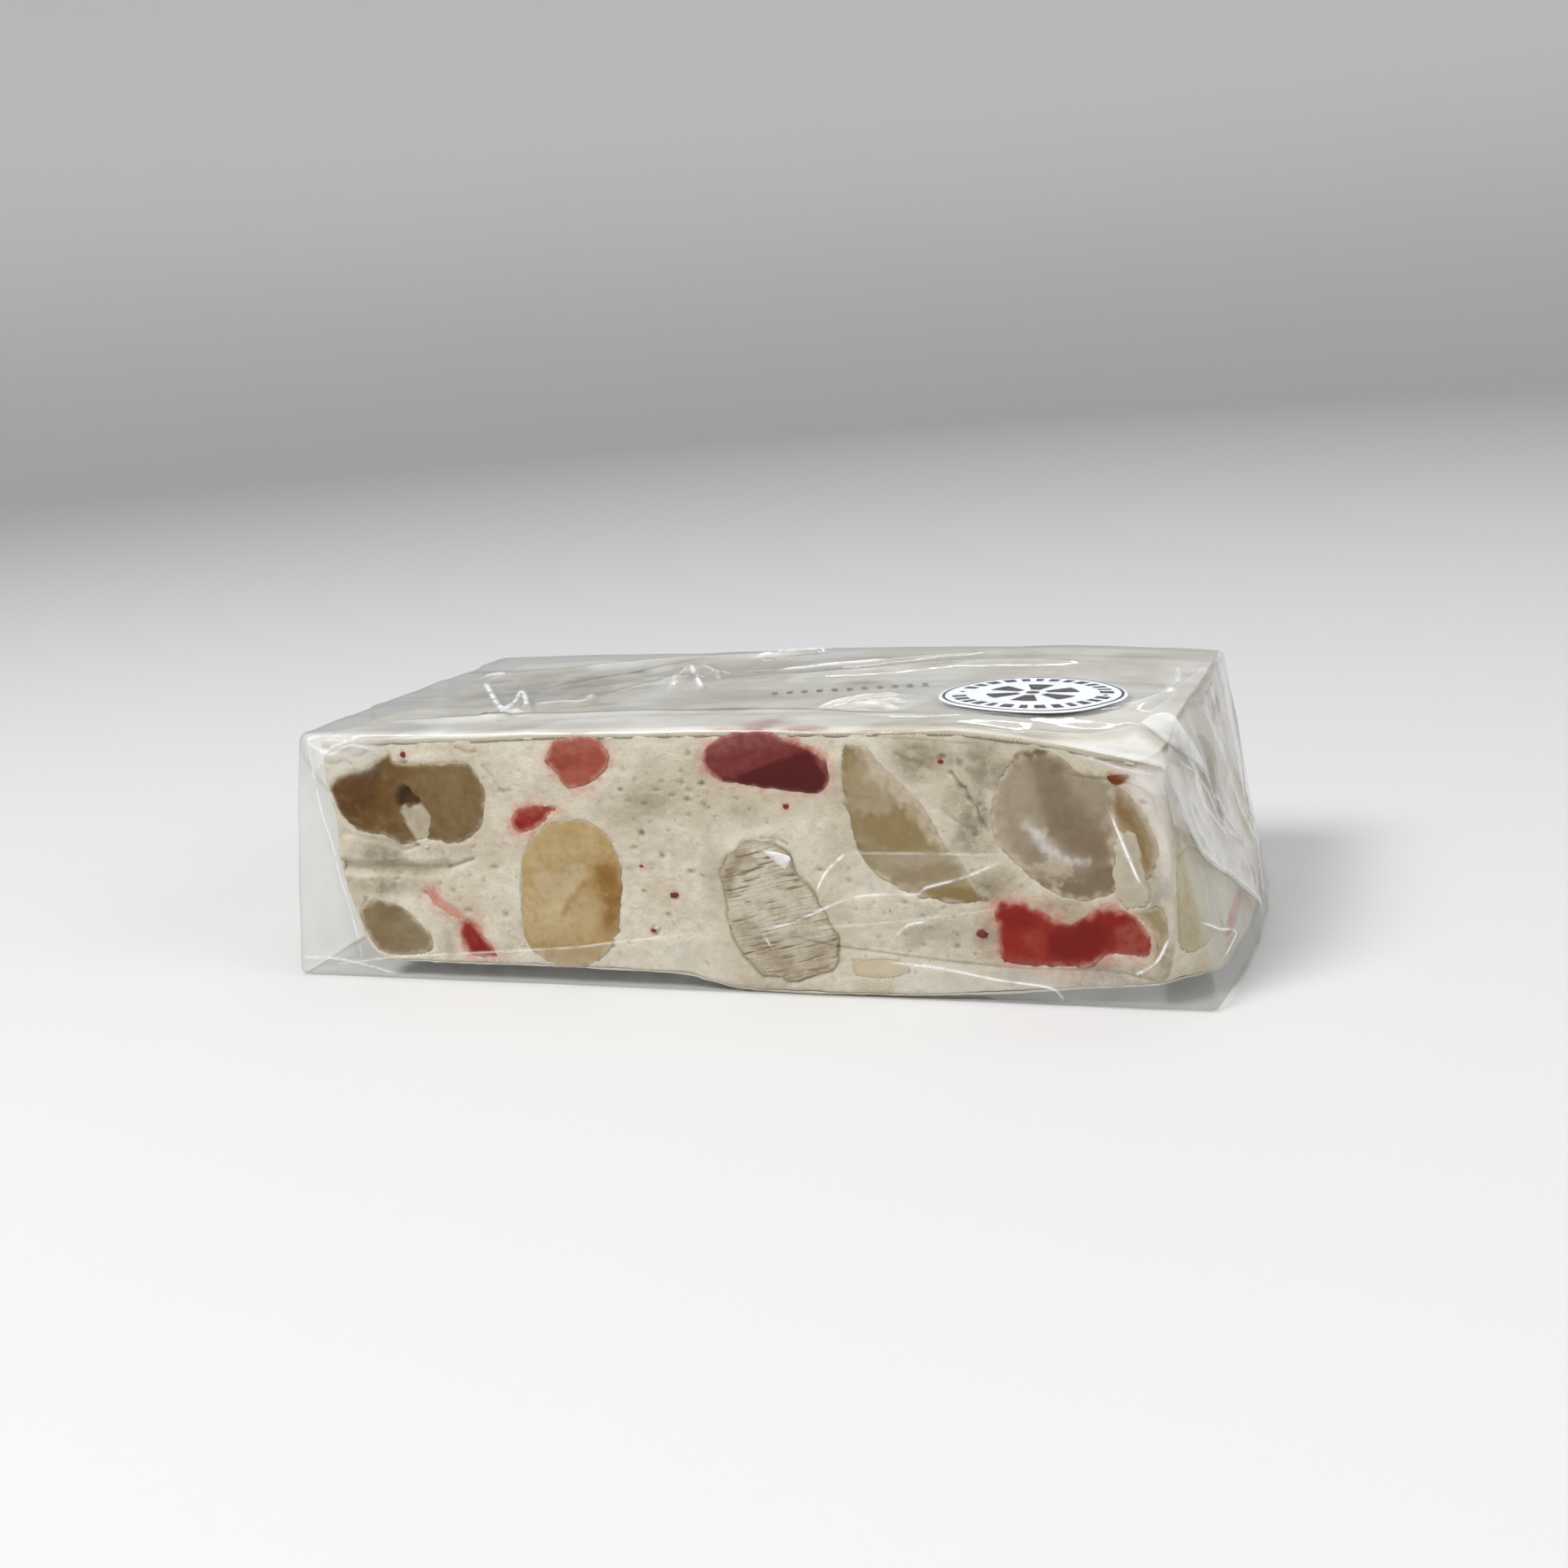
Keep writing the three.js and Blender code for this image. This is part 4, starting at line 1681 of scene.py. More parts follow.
@dataclass
class FilmWrap:
    """The sealed film: one closed skin, creased and slightly loose round the bar."""

    form: WrapForm
    creases: tuple[Crease, ...]
    veils: tuple[Veil, ...]
    spacing: float = 1.0
    edge_step: float = 0.7
    edge_rows: tuple[float, ...] = (0.12, 0.3, 0.55, 0.9)
    crease_rows: tuple[float, ...] = (0.0, 0.11, 0.24, 0.5, 0.95)
    crease_step: float = 0.45
    least: float = -0.3
    most: float = 1.3

    SLACK = 0.22
    SLACK_SIZE = 17.0
    LONG_WAVE = 0.15
    LONG_WAVE_SIZE = (38.0, 5.5, 20.0)
    WRINKLE = 0.04
    WRINKLE_SIZE = (6.0, 3.0, 3.0)
    END_SLACK = 0.2
    END_SLACK_SIZE = (12.0, 6.0, 14.0)
    END_HAZE = 0.07

    def to_plain(self, face: Side, places: Array) -> Array:
        """Find the plain box's place for each place on the finished wrap.

        Args:
            face: the face that they lie on.
            places: places over it, as a crease gives them.

        Returns:
            The places over that face of the plain box.
        """
        form = self.form
        axis, sign = face.value
        if axis == 2:
            x, y = places[:, 0], places[:, 1]
            share = np.full(len(places), float(sign > 0))
        elif axis == 1:
            x, y = places[:, 0], np.full(len(places), sign * form.width / 2)
            share = places[:, 1] / form.top(x, y)
        else:
            y = places[:, 0]
            x = form.end(sign, y, np.clip(places[:, 1] / form.height, 0, 1))
            share = places[:, 1] / form.top(x, y)
        left, right = form.end(-1, y, share), form.end(1, y, share)
        plain_x = ((x - left) / (right - left) - 0.5) * form.foot_length
        plain_z = (share - 0.5) * form.height
        return {0: np.column_stack([y, plain_z]), 1: np.column_stack([plain_z, plain_x]),
                2: np.column_stack([plain_x, y])}[axis]

    def lines(self) -> list[tuple[Crease, Array, Array]]:
        """Lay out the creases.

        Returns:
            Each crease with its line on the plain box's face, and its line in space.
        """
        laid = []
        for crease in self.creases:
            line = through(np.array(crease.points, dtype=float), closed=False, steps=5)
            flat = self.to_plain(crease.face, line)
            axis, sign = crease.face.value
            solid = np.empty((len(flat), 3))
            solid[:, axis] = sign * self.form.half[axis]
            solid[:, (axis + 1) % 3] = flat[:, 0]
            solid[:, (axis + 2) % 3] = flat[:, 1]
            rounded, _ = round_box(solid, self.form.half, self.form.edge_radius)
            laid.append((crease, flat, self.form.shape(rounded)))
        return laid

    def rows(self, line: Array, width: float) -> Array:
        """Lay rows of points along both sides of a crease's line.

        Args:
            line: the line on the plain face.
            width: the crease's width.

        Returns:
            The points of all the rows.
        """
        gaps = np.linalg.norm(np.diff(line, axis=0), axis=1)
        reach = np.concatenate([[0], np.cumsum(gaps)])
        marks = np.linspace(0, reach[-1], max(3, round(reach[-1] / self.crease_step)))
        middle = np.column_stack([np.interp(marks, reach, line[:, part]) for part in (0, 1)])
        ahead = np.gradient(middle, axis=0)
        ahead /= np.linalg.norm(ahead, axis=1, keepdims=True)
        normal = np.column_stack([-ahead[:, 1], ahead[:, 0]])
        rows = [middle]
        for row in self.crease_rows[1:]:
            if row < width:
                rows += [middle + normal * row, middle - normal * row]
        return np.vstack(rows)

    def relief(self, base: Array, facing: Array, lines: list) -> tuple[Array, Array, Array]:
        """Work out how far the film stands off its smooth form.

        Args:
            base: the smooth form's points.
            facing: the direction in which each one faces.
            lines: the creases, as laid out.

        Returns:
            How far each point stands out, how whitened it is, partly as a painted highlight, and how greyed
            as painted shade.
        """
        slack, long_wave, wrinkle = Grain(41), Grain(42), Grain(43)
        up = np.clip(facing[:, 2], 0, 1)
        out = self.SLACK * slack.layered(base, self.SLACK_SIZE, 2)
        out = out + up * self.LONG_WAVE * long_wave.layered(base, np.array(self.LONG_WAVE_SIZE), 2)
        out = out + self.WRINKLE * wrinkle.layered(base, np.array(self.WRINKLE_SIZE), 2)
        ends = np.abs(facing[:, 0])
        out = out + ends * self.END_SLACK * slack.layered(base + 60, np.array(self.END_SLACK_SIZE), 2)
        white, grey = np.zeros(len(base)), np.zeros(len(base))
        for crease, _, solid in lines:
            axis, sign = crease.face.value
            near = np.flatnonzero(facing[:, axis] * sign > 0.2)
            places = base[near]
            low, high = solid.min(axis=0) - crease.width, solid.max(axis=0) + crease.width
            close = ((places > low) & (places < high)).all(axis=1)
            near, places = near[close], places[close]
            if not len(near):
                continue
            gaps = np.array([from_line(start, end, places) for start, end in zip(solid, solid[1:])])
            best = gaps[:, 0].argmin(axis=0)
            gap = gaps[:, 0].min(axis=0)
            along = (best + gaps[best, 1, np.arange(len(near))]) / (len(solid) - 1)
            fade = np.sqrt(ease(along, -0.02, 0.14) * ease(-along, -1.02, -0.86))
            slope = np.clip(1 - gap / crease.width, 0, 1) ** 1.6
            out[near] += crease.height * fade * slope
            # Whitened crest as a partly painted highlight, or greyed crest as painted shade.
            crest = np.clip(1.1 - gap / crease.line, 0, 1) * fade * abs(crease.white)
            white[near] = np.maximum(white[near], crest)
            grey[near] = np.where(crease.white < 0, np.maximum(grey[near], crest), grey[near])
        return np.clip(out, self.least, self.most), np.where(grey > 0, 0.0, white), grey

    def build(self) -> Skin:
        """Make the film's skin, with its facts for whitened creases and haze.

        Returns:
            The film's skin.
        """
        lines = self.lines()
        extra: dict[tuple[int, int], Array] = {}
        for crease, flat, _ in lines:
            rows = self.rows(flat, crease.width)
            key = crease.face.value
            extra[key] = np.vstack([extra[key], rows]) if key in extra else rows
        spacing = {face.value: self.spacing for face in Side}
        plain, triangles = BoxSkin(self.form.half, self.edge_step, self.edge_rows, spacing, extra).build()
        rounded, facing = round_box(plain, self.form.half, self.form.edge_radius)
        base = self.form.shape(rounded)
        out, white, grey = self.relief(base, facing, lines)
        out *= ease(facing[:, 2], -1.0, -0.6)
        haze = self.END_HAZE * ease(np.abs(facing[:, 0]), 0.6, 1.0)
        # Painted sheen and glare: the veils make patches milky, partly second layers and partly painted
        # reflection.
        for veil in self.veils:
            axis, sign = veil.face.value
            near = np.flatnonzero(facing[:, axis] * sign > 0.5)
            places = base[near][:, [part for part in range(3) if part != axis]]
            inside = depth_inside(np.array(veil.points, dtype=float), places, 2.0)
            share = ease(inside, -veil.softness / 2, veil.softness / 2)
            haze[near] = np.maximum(haze[near], veil.strength * share)
        points = base + facing * out[:, None]
        points[:, 2] = np.maximum(points[:, 2], 0.0)
        return Skin(points, triangles, {"crease": white, "grey": grey, "haze": haze})


@dataclass(frozen=True)
class FilmFold:
    """A pointed fold of film that lies over the skin: a strip between two lines in space.

    Args:
        lower: points along its lower edge.
        upper: points along its upper edge, from the same start to the same tip.
        push: how far its middle is pushed out.
        milk: how milky it is.
        band: the share of its width that is a grey shadow along the lower edge.
    """

    lower: tuple[Triple, ...]
    upper: tuple[Triple, ...]
    push: Triple
    milk: float = 0.7
    band: float = 0.18
    rows: int = 30
    columns: int = 14

    def edge(self, points: tuple[Triple, ...]) -> Array:
        """Space points evenly along an edge.

        Args:
            points: the points that the edge runs through.

        Returns:
            The spaced points, one row each.
        """
        line = through(np.array(points), closed=False, steps=10)
        reach = np.concatenate([[0], np.cumsum(np.linalg.norm(np.diff(line, axis=0), axis=1))])
        marks = np.linspace(0, reach[-1], self.rows)
        return np.column_stack([np.interp(marks, reach, line[:, axis]) for axis in range(3)])

    def build(self) -> Skin:
        """Make the fold's single layer, with its facts for edges whitened as a painted highlight, the grey
        painted shadow, and milkiness that is partly a painted glint.

        Returns:
            The fold's skin.
        """
        lower, upper = self.edge(self.lower), self.edge(self.upper)
        share = np.linspace(0, 1, self.columns)[None, :, None]
        points = lower[:, None] * (1 - share) + upper[:, None] * share
        along = np.linspace(0, 1, self.rows)[:, None, None]
        points = points + np.array(self.push) * np.sin(math.pi * share) ** 0.6 * np.sin(math.pi * along)
        cells = np.arange(self.rows * self.columns).reshape(self.rows, self.columns)
        a, b, c, d = cells[:-1, :-1], cells[:-1, 1:], cells[1:, 1:], cells[1:, :-1]
        halves = [np.stack(corners, -1).reshape(-1, 3) for corners in ((a, d, b), (b, d, c))]
        across = np.broadcast_to(share, (self.rows, self.columns, 1)).reshape(-1)
        # Painted shadow in the band along the lower edge, painted highlight along the edges.
        grey = ease(-across, -self.band * 1.3, -self.band * 0.7) if self.band else np.zeros(len(across))
        white = 0.5 * ease(across, 0.92, 1.0) + 0.3 * ease(-np.abs(across - self.band), -0.08, 0.0)
        grey = 0.6 * grey
        return Skin(points.reshape(-1, 3), np.vstack(halves),
                    {"crease": white, "grey": grey, "haze": self.milk * (1 - grey)})


# ---------------------------------------------------------------- label and print


@dataclass
class RoundLabel:
    """The round paper label on the film, and its plain printed rings and dashes."""

    form: WrapForm
    middle: Pair
    radius: float
    thickness: float = 0.14
    lift: float = 0.12
    rings: int = 26
    sides: int = 120

    DESIGN_RADIUS = 10.75
    RING = (10.05, 10.36)
    DASHES = (7.6, 9.2)
    DOTS = (8.1, 8.6)
    PETALS = (1.7, 5.3)
    BUD_RADIUS = 0.8
    BUD_HOLE = 0.02
    PETAL_COUNT = 6
    PETAL_HALF_TURN = 17
    DASH_TURN = (5.5, 9.5)
    DASH_START = 8.0
    DASH_END = 346
    DASH_GAP = 5.0
    DOT_PLACES = (0, 177)
    DOT_HALF_TURN = 2
    BARE_TURN = (166, 188)
    INK_LIFT = 0.02

    def height(self, x: Array, y: Array) -> Array:
        """Return the height of the label's underside."""
        cockle = 0.05 * Grain(71).at(np.column_stack([x, y, 0 * x]), 7.0)
        return self.form.top(x, y) + self.lift + cockle

    def build(self) -> Skin:
        """Make the paper disc.

        Returns:
            The disc's skin.
        """
        turns = np.linspace(0, 2 * math.pi, self.sides, endpoint=False)
        radii = self.radius * (np.arange(1, self.rings + 1) / self.rings)
        layers = [(0.0, self.thickness)]
        layers += [(radius, self.thickness) for radius in radii]
        layers += [(self.radius + 0.04, self.thickness * 0.5)]
        layers += [(radius, 0.0) for radius in radii[::-1]] + [(0.0, 0.0)]
        rings = []
        for radius, up in layers:
            around = turns[: self.sides if radius else 1]
            x = self.middle[0] + radius * np.cos(around)
            y = self.middle[1] + radius * np.sin(around)
            rings.append(np.column_stack([x, y, self.height(x, y) + up]))
        return Skin(np.vstack(rings), walls(numbered(rings)))

    def strip(self, near: float, far: float, start: float, end: float) -> Skin:
        """Make one printed piece of a ring.

        Args:
            near: its inner radius.
            far: its outer radius.
            start: the turn that it starts at, in degrees.
            end: the turn that it ends at.

        Returns:
            The strip's skin.
        """
        count = max(3, round(abs(end - start) / 3) + 1)
        turns = np.radians(np.linspace(start, end, count))
        rings = []
        for radius in (near, far):
            x = self.middle[0] + radius * np.cos(turns)
            y = self.middle[1] + radius * np.sin(turns)
            rings.append(np.column_stack([x, y, self.height(x, y) + self.thickness + self.INK_LIFT]))
        low = np.arange(count - 1)
        triangles = np.vstack([
            np.column_stack([low, low + count, low + 1]),
            np.column_stack([low + 1, low + count, low + count + 1]),
        ])
        return Skin(np.vstack(rings), triangles)

    @property
    def scale(self) -> float:
        """How large the label is against the radius that its print is drawn for."""
        return self.radius / self.DESIGN_RADIUS

    def printed(self, band: Pair, start: float, end: float) -> Skin:
        """Make one printed piece of a ring, whose two radii are those of the print as drawn."""
        return self.strip(band[0] * self.scale, band[1] * self.scale, start, end)

    def print_marks(self) -> Skin:
        """Make the label's print: a ring, a circle of plain dashes, and a simple flower of arcs.

        Returns:
            The print's skin.
        """
        random = np.random.default_rng(72)
        marks = [self.printed(self.RING, 0, 360)]
        turn = self.DASH_START
        while turn < self.DASH_END:
            wide = random.uniform(*self.DASH_TURN)
            if not (self.BARE_TURN[0] < turn + wide / 2 < self.BARE_TURN[1]):
                marks.append(self.printed(self.DASHES, turn, turn + wide))
            turn += wide + self.DASH_GAP
        for middle in self.DOT_PLACES:
            marks.append(self.printed(self.DOTS, middle - self.DOT_HALF_TURN, middle + self.DOT_HALF_TURN))
        for petal in range(self.PETAL_COUNT):
            middle = 360.0 / self.PETAL_COUNT * (petal + 0.5)
            ends = middle - self.PETAL_HALF_TURN, middle + self.PETAL_HALF_TURN
            marks.append(self.printed(self.PETALS, *ends))
        marks.append(self.strip(self.BUD_HOLE, self.BUD_RADIUS * self.scale, 0, 360))
        return join(marks)


@dataclass
class FilmPrint:
    """A row of plain dashes printed on the film's top."""

    form: WrapForm
    start: Pair
    end: Pair
    count: int = 11
    tall: float = 1.3
    wide: float = 0.75
    sink: float = 0.32

    def build(self) -> Skin:
        """Make all the dashes as one thin piece just under the film.

        Returns:
            The dashes' skin.
        """
        start, end = np.array(self.start), np.array(self.end)
        ahead = (end - start) / np.linalg.norm(end - start)
        normal = np.array([-ahead[1], ahead[0]])
        skins = []
        for share in np.linspace(0, 1, self.count):
            middle = start + (end - start) * share
            corners = np.array([
                middle + ahead * across * self.wide / 2 + normal * up * self.tall / 2
                for across, up in ((-1, -1), (1, -1), (1, 1), (-1, 1))
            ])
            z = self.form.top(corners[:, 0], corners[:, 1]) - self.sink
            skins.append(Skin(np.column_stack([corners, z]), np.array([(0, 1, 2), (0, 2, 3)])))
        return join(skins)


# ---------------------------------------------------------------- the studio


@dataclass(frozen=True)
class SoftLight:
    """One soft rectangular lamp, aimed at the bar."""

    name: str
    place: Triple
    size: Pair
    watts: float
    colour: Colour = (1.0, 1.0, 1.0)

    def make(self) -> None:
        """Hang the lamp."""
        lamp = bpy.data.lights.new(self.name, "AREA")
        lamp.shape = "RECTANGLE"
        lamp.size, lamp.size_y = self.size
        lamp.energy = self.watts
        lamp.color = self.colour
        holder = bpy.data.objects.new(self.name, lamp)
        holder.location = self.place
        holder.rotation_euler = (-Vector(self.place)).to_track_quat("-Z", "Y").to_euler()
        bpy.context.scene.collection.objects.link(holder)


@dataclass(frozen=True)
class Studio:
    """A pale round floor that curves up into a wall, soft lamps, and the camera."""

    azimuth: float = -19.51
    elevation: float = 13.2
    roll: float = -4.36
    camera_mm: Triple = (79.38, -227.55, 74.89)
    focal_px: float = 2200.0
    frame_px: float = 1772.0
    sensor_mm: float = 36.0
    floor_radius: float = 1.6
    wall_height: float = 0.9
    wall_bend: float = 0.45
    floor_sides: int = 72
    sky: float = 0.34
    lamps: tuple[SoftLight, ...] = ()

    def floor(self) -> None:
        """Make the floor, with its wall all round."""
        bend, inner = self.wall_bend, self.floor_radius - self.wall_bend
        flat = np.linspace(0.0, inner, 6)
        rise = np.linspace(0, math.pi / 2, 9)[1:]
        radii = np.concatenate([flat, inner + bend * np.sin(rise), [self.floor_radius]])
        heights = np.concatenate([np.zeros(len(flat)), bend * (1 - np.cos(rise)), [self.wall_height]])
        turns = np.linspace(0, 2 * math.pi, self.floor_sides, endpoint=False)
        rings = [np.zeros((1, 3))]
        for radius, height in zip(radii[1:], heights[1:]):
            level = np.full(self.floor_sides, height)
            rings.append(np.column_stack([radius * np.cos(turns), radius * np.sin(turns), level]))
        floor = Skin(np.vstack(rings) / MM, walls(numbered(rings))).make("studio_floor")
        floor.data.materials.append(FloorFinish().material())

    def camera(self) -> None:
        """Stand the camera where the bar is seen from."""
        turn, tilt, roll = (math.radians(part) for part in (self.azimuth, self.elevation, self.roll))
        ahead = Vector((math.sin(turn) * math.cos(tilt), math.cos(turn) * math.cos(tilt), -math.sin(tilt)))
        level = ahead.cross(Vector((0, 0, 1))).normalized()
        upright = level.cross(ahead)
        right = math.cos(roll) * level + math.sin(roll) * upright
        up = -math.sin(roll) * level + math.cos(roll) * upright
        lens = bpy.data.cameras.new("camera")
        lens.sensor_width = self.sensor_mm
        lens.lens = self.focal_px / self.frame_px * self.sensor_mm
        lens.clip_start = 0.01
        holder = bpy.data.objects.new("camera", lens)
        place = Vector(self.camera_mm) * MM
        holder.matrix_world = Matrix((
            (right.x, up.x, -ahead.x, place.x),
            (right.y, up.y, -ahead.y, place.y),
            (right.z, up.z, -ahead.z, place.z),
            (0, 0, 0, 1),
        ))
        bpy.context.scene.collection.objects.link(holder)
        bpy.context.scene.camera = holder

    def build(self) -> None:
        """Set up the floor, the sky, the lamps and the camera."""
        scene = bpy.context.scene
        self.floor()
        world = bpy.data.worlds.new("studio")
        world.use_nodes = True
        sky = world.node_tree.nodes["Background"]
        sky.inputs["Color"].default_value = (1.0, 1.0, 1.0, 1.0)
        sky.inputs["Strength"].default_value = self.sky
        scene.world = world
        for lamp in self.lamps:
            lamp.make()
        self.camera()
        scene.view_settings.view_transform = "Standard"
        scene.cycles.transparent_max_bounces = 24


# ---------------------------------------------------------------- this bar


BROWN_NUT = KernelFinish("nut_brown", near=(102, 76, 46), far=(126, 105, 76), rim=(116, 90, 52),
                         deep=(84, 56, 28), pale=(182, 172, 152), bloom=(138, 118, 86))
GOLDEN_NUT = KernelFinish("nut_golden", near=(182, 160, 120), far=(176, 150, 108), rim=(168, 138, 88),
                          deep=(134, 96, 46), pale=(194, 178, 148), bloom=(196, 176, 140))
GREY_NUT = KernelFinish("nut_grey", near=(132, 114, 86), far=(136, 122, 98), rim=(134, 112, 78),
                        deep=(118, 94, 62), pale=(162, 148, 122), bloom=(150, 136, 110))
SCORED_NUT = KernelFinish("nut_scored", near=(202, 194, 180), far=(192, 182, 166), rim=(156, 140, 110),
                          deep=(128, 110, 80), pale=(212, 205, 192), bloom=(204, 196, 182), streaks=1.0,
                          slant=14.0, roughness=0.5)
OLIVE_NUT = KernelFinish("nut_olive", near=(150, 134, 102), far=(154, 139, 110), rim=(140, 121, 86),
                         deep=(140, 120, 82), pale=(172, 158, 132), bloom=(166, 151, 122), streaks=0.2)
CLEAR_NUT = KernelFinish("nut_clear", near=(150, 138, 119), far=(140, 125, 105), rim=(140, 123, 99),
                         deep=(120, 103, 83), pale=(176, 165, 148), bloom=(152, 139, 120), roughness=0.3)
TOASTED_NUT = KernelFinish("nut_toasted", near=(154, 136, 112), far=(150, 131, 98), rim=(144, 120, 84),
                           deep=(134, 107, 70), pale=(184, 170, 142), bloom=(164, 148, 122))
FLAKE_NUT = KernelFinish("nut_flake", near=(188, 179, 163), far=(180, 170, 153), rim=(192, 183, 167),
                         deep=(156, 142, 114), pale=(208, 201, 188), bloom=(206, 200, 188))
IVORY_NUT = KernelFinish("nut_ivory", near=(184, 174, 148), far=(196, 188, 162), rim=(178, 164, 134),
                         deep=(160, 144, 108), pale=(212, 204, 184), bloom=(204, 197, 176))
FAINT_NUT = KernelFinish("nut_faint", near=(204, 190, 162), far=(200, 184, 150), rim=(196, 180, 146),
                         deep=(184, 160, 112), pale=(212, 202, 180), bloom=(208, 196, 170))

CORAL_FRUIT = FruitFinish("fruit_coral", near=(142, 70, 60), far=(152, 78, 64), pale=(172, 108, 94),
                          deep=(130, 58, 46))
CRIMSON_FRUIT = FruitFinish("fruit_crimson", near=(116, 58, 57), far=(112, 50, 50), pale=(148, 96, 93),
                            deep=(86, 24, 26))
SCARLET_FRUIT = FruitFinish("fruit_scarlet", near=(142, 50, 42), far=(134, 44, 37), pale=(158, 88, 77),
                            deep=(116, 27, 25))
RUSSET_FRUIT = FruitFinish("fruit_russet", near=(112, 62, 38), far=(132, 80, 52), pale=(152, 104, 76),
                           deep=(92, 48, 26), smear=(180, 140, 112))
ROSE_FRUIT = FruitFinish("fruit_rose", near=(184, 124, 108), far=(190, 140, 124), pale=(204, 162, 146))


def oval(middle: Pair, wide: float, tall: float, turn: float, seed: int) -> tuple[Pair, ...]:
    """Draw an uneven oval outline.

    Args:
        middle: its middle across and up a side.
        wide: its width.
        tall: its height.
        turn: how far it is turned, in degrees.
        seed: where its unevenness comes from.

    Returns:
        Its points, in order round it.
    """
    random = np.random.default_rng(seed)
    tilt = math.radians(turn)
    taper, flat = random.uniform(-0.35, 0.35), random.uniform(0.0, 0.4)
    points = []
    for angle in np.linspace(0, 2 * math.pi, 11, endpoint=False):
        reach = random.uniform(0.9, 1.08) / 2
        across, up = wide * reach * math.cos(angle), tall * reach * math.sin(angle)
        up *= (1 + taper * math.cos(angle)) * (1 - flat * (math.sin(angle) < 0))
        points.append((
            float(middle[0] + across * math.cos(tilt) - up * math.sin(tilt)),
            float(middle[1] + across * math.sin(tilt) + up * math.cos(tilt)),
        ))
    return tuple(points)


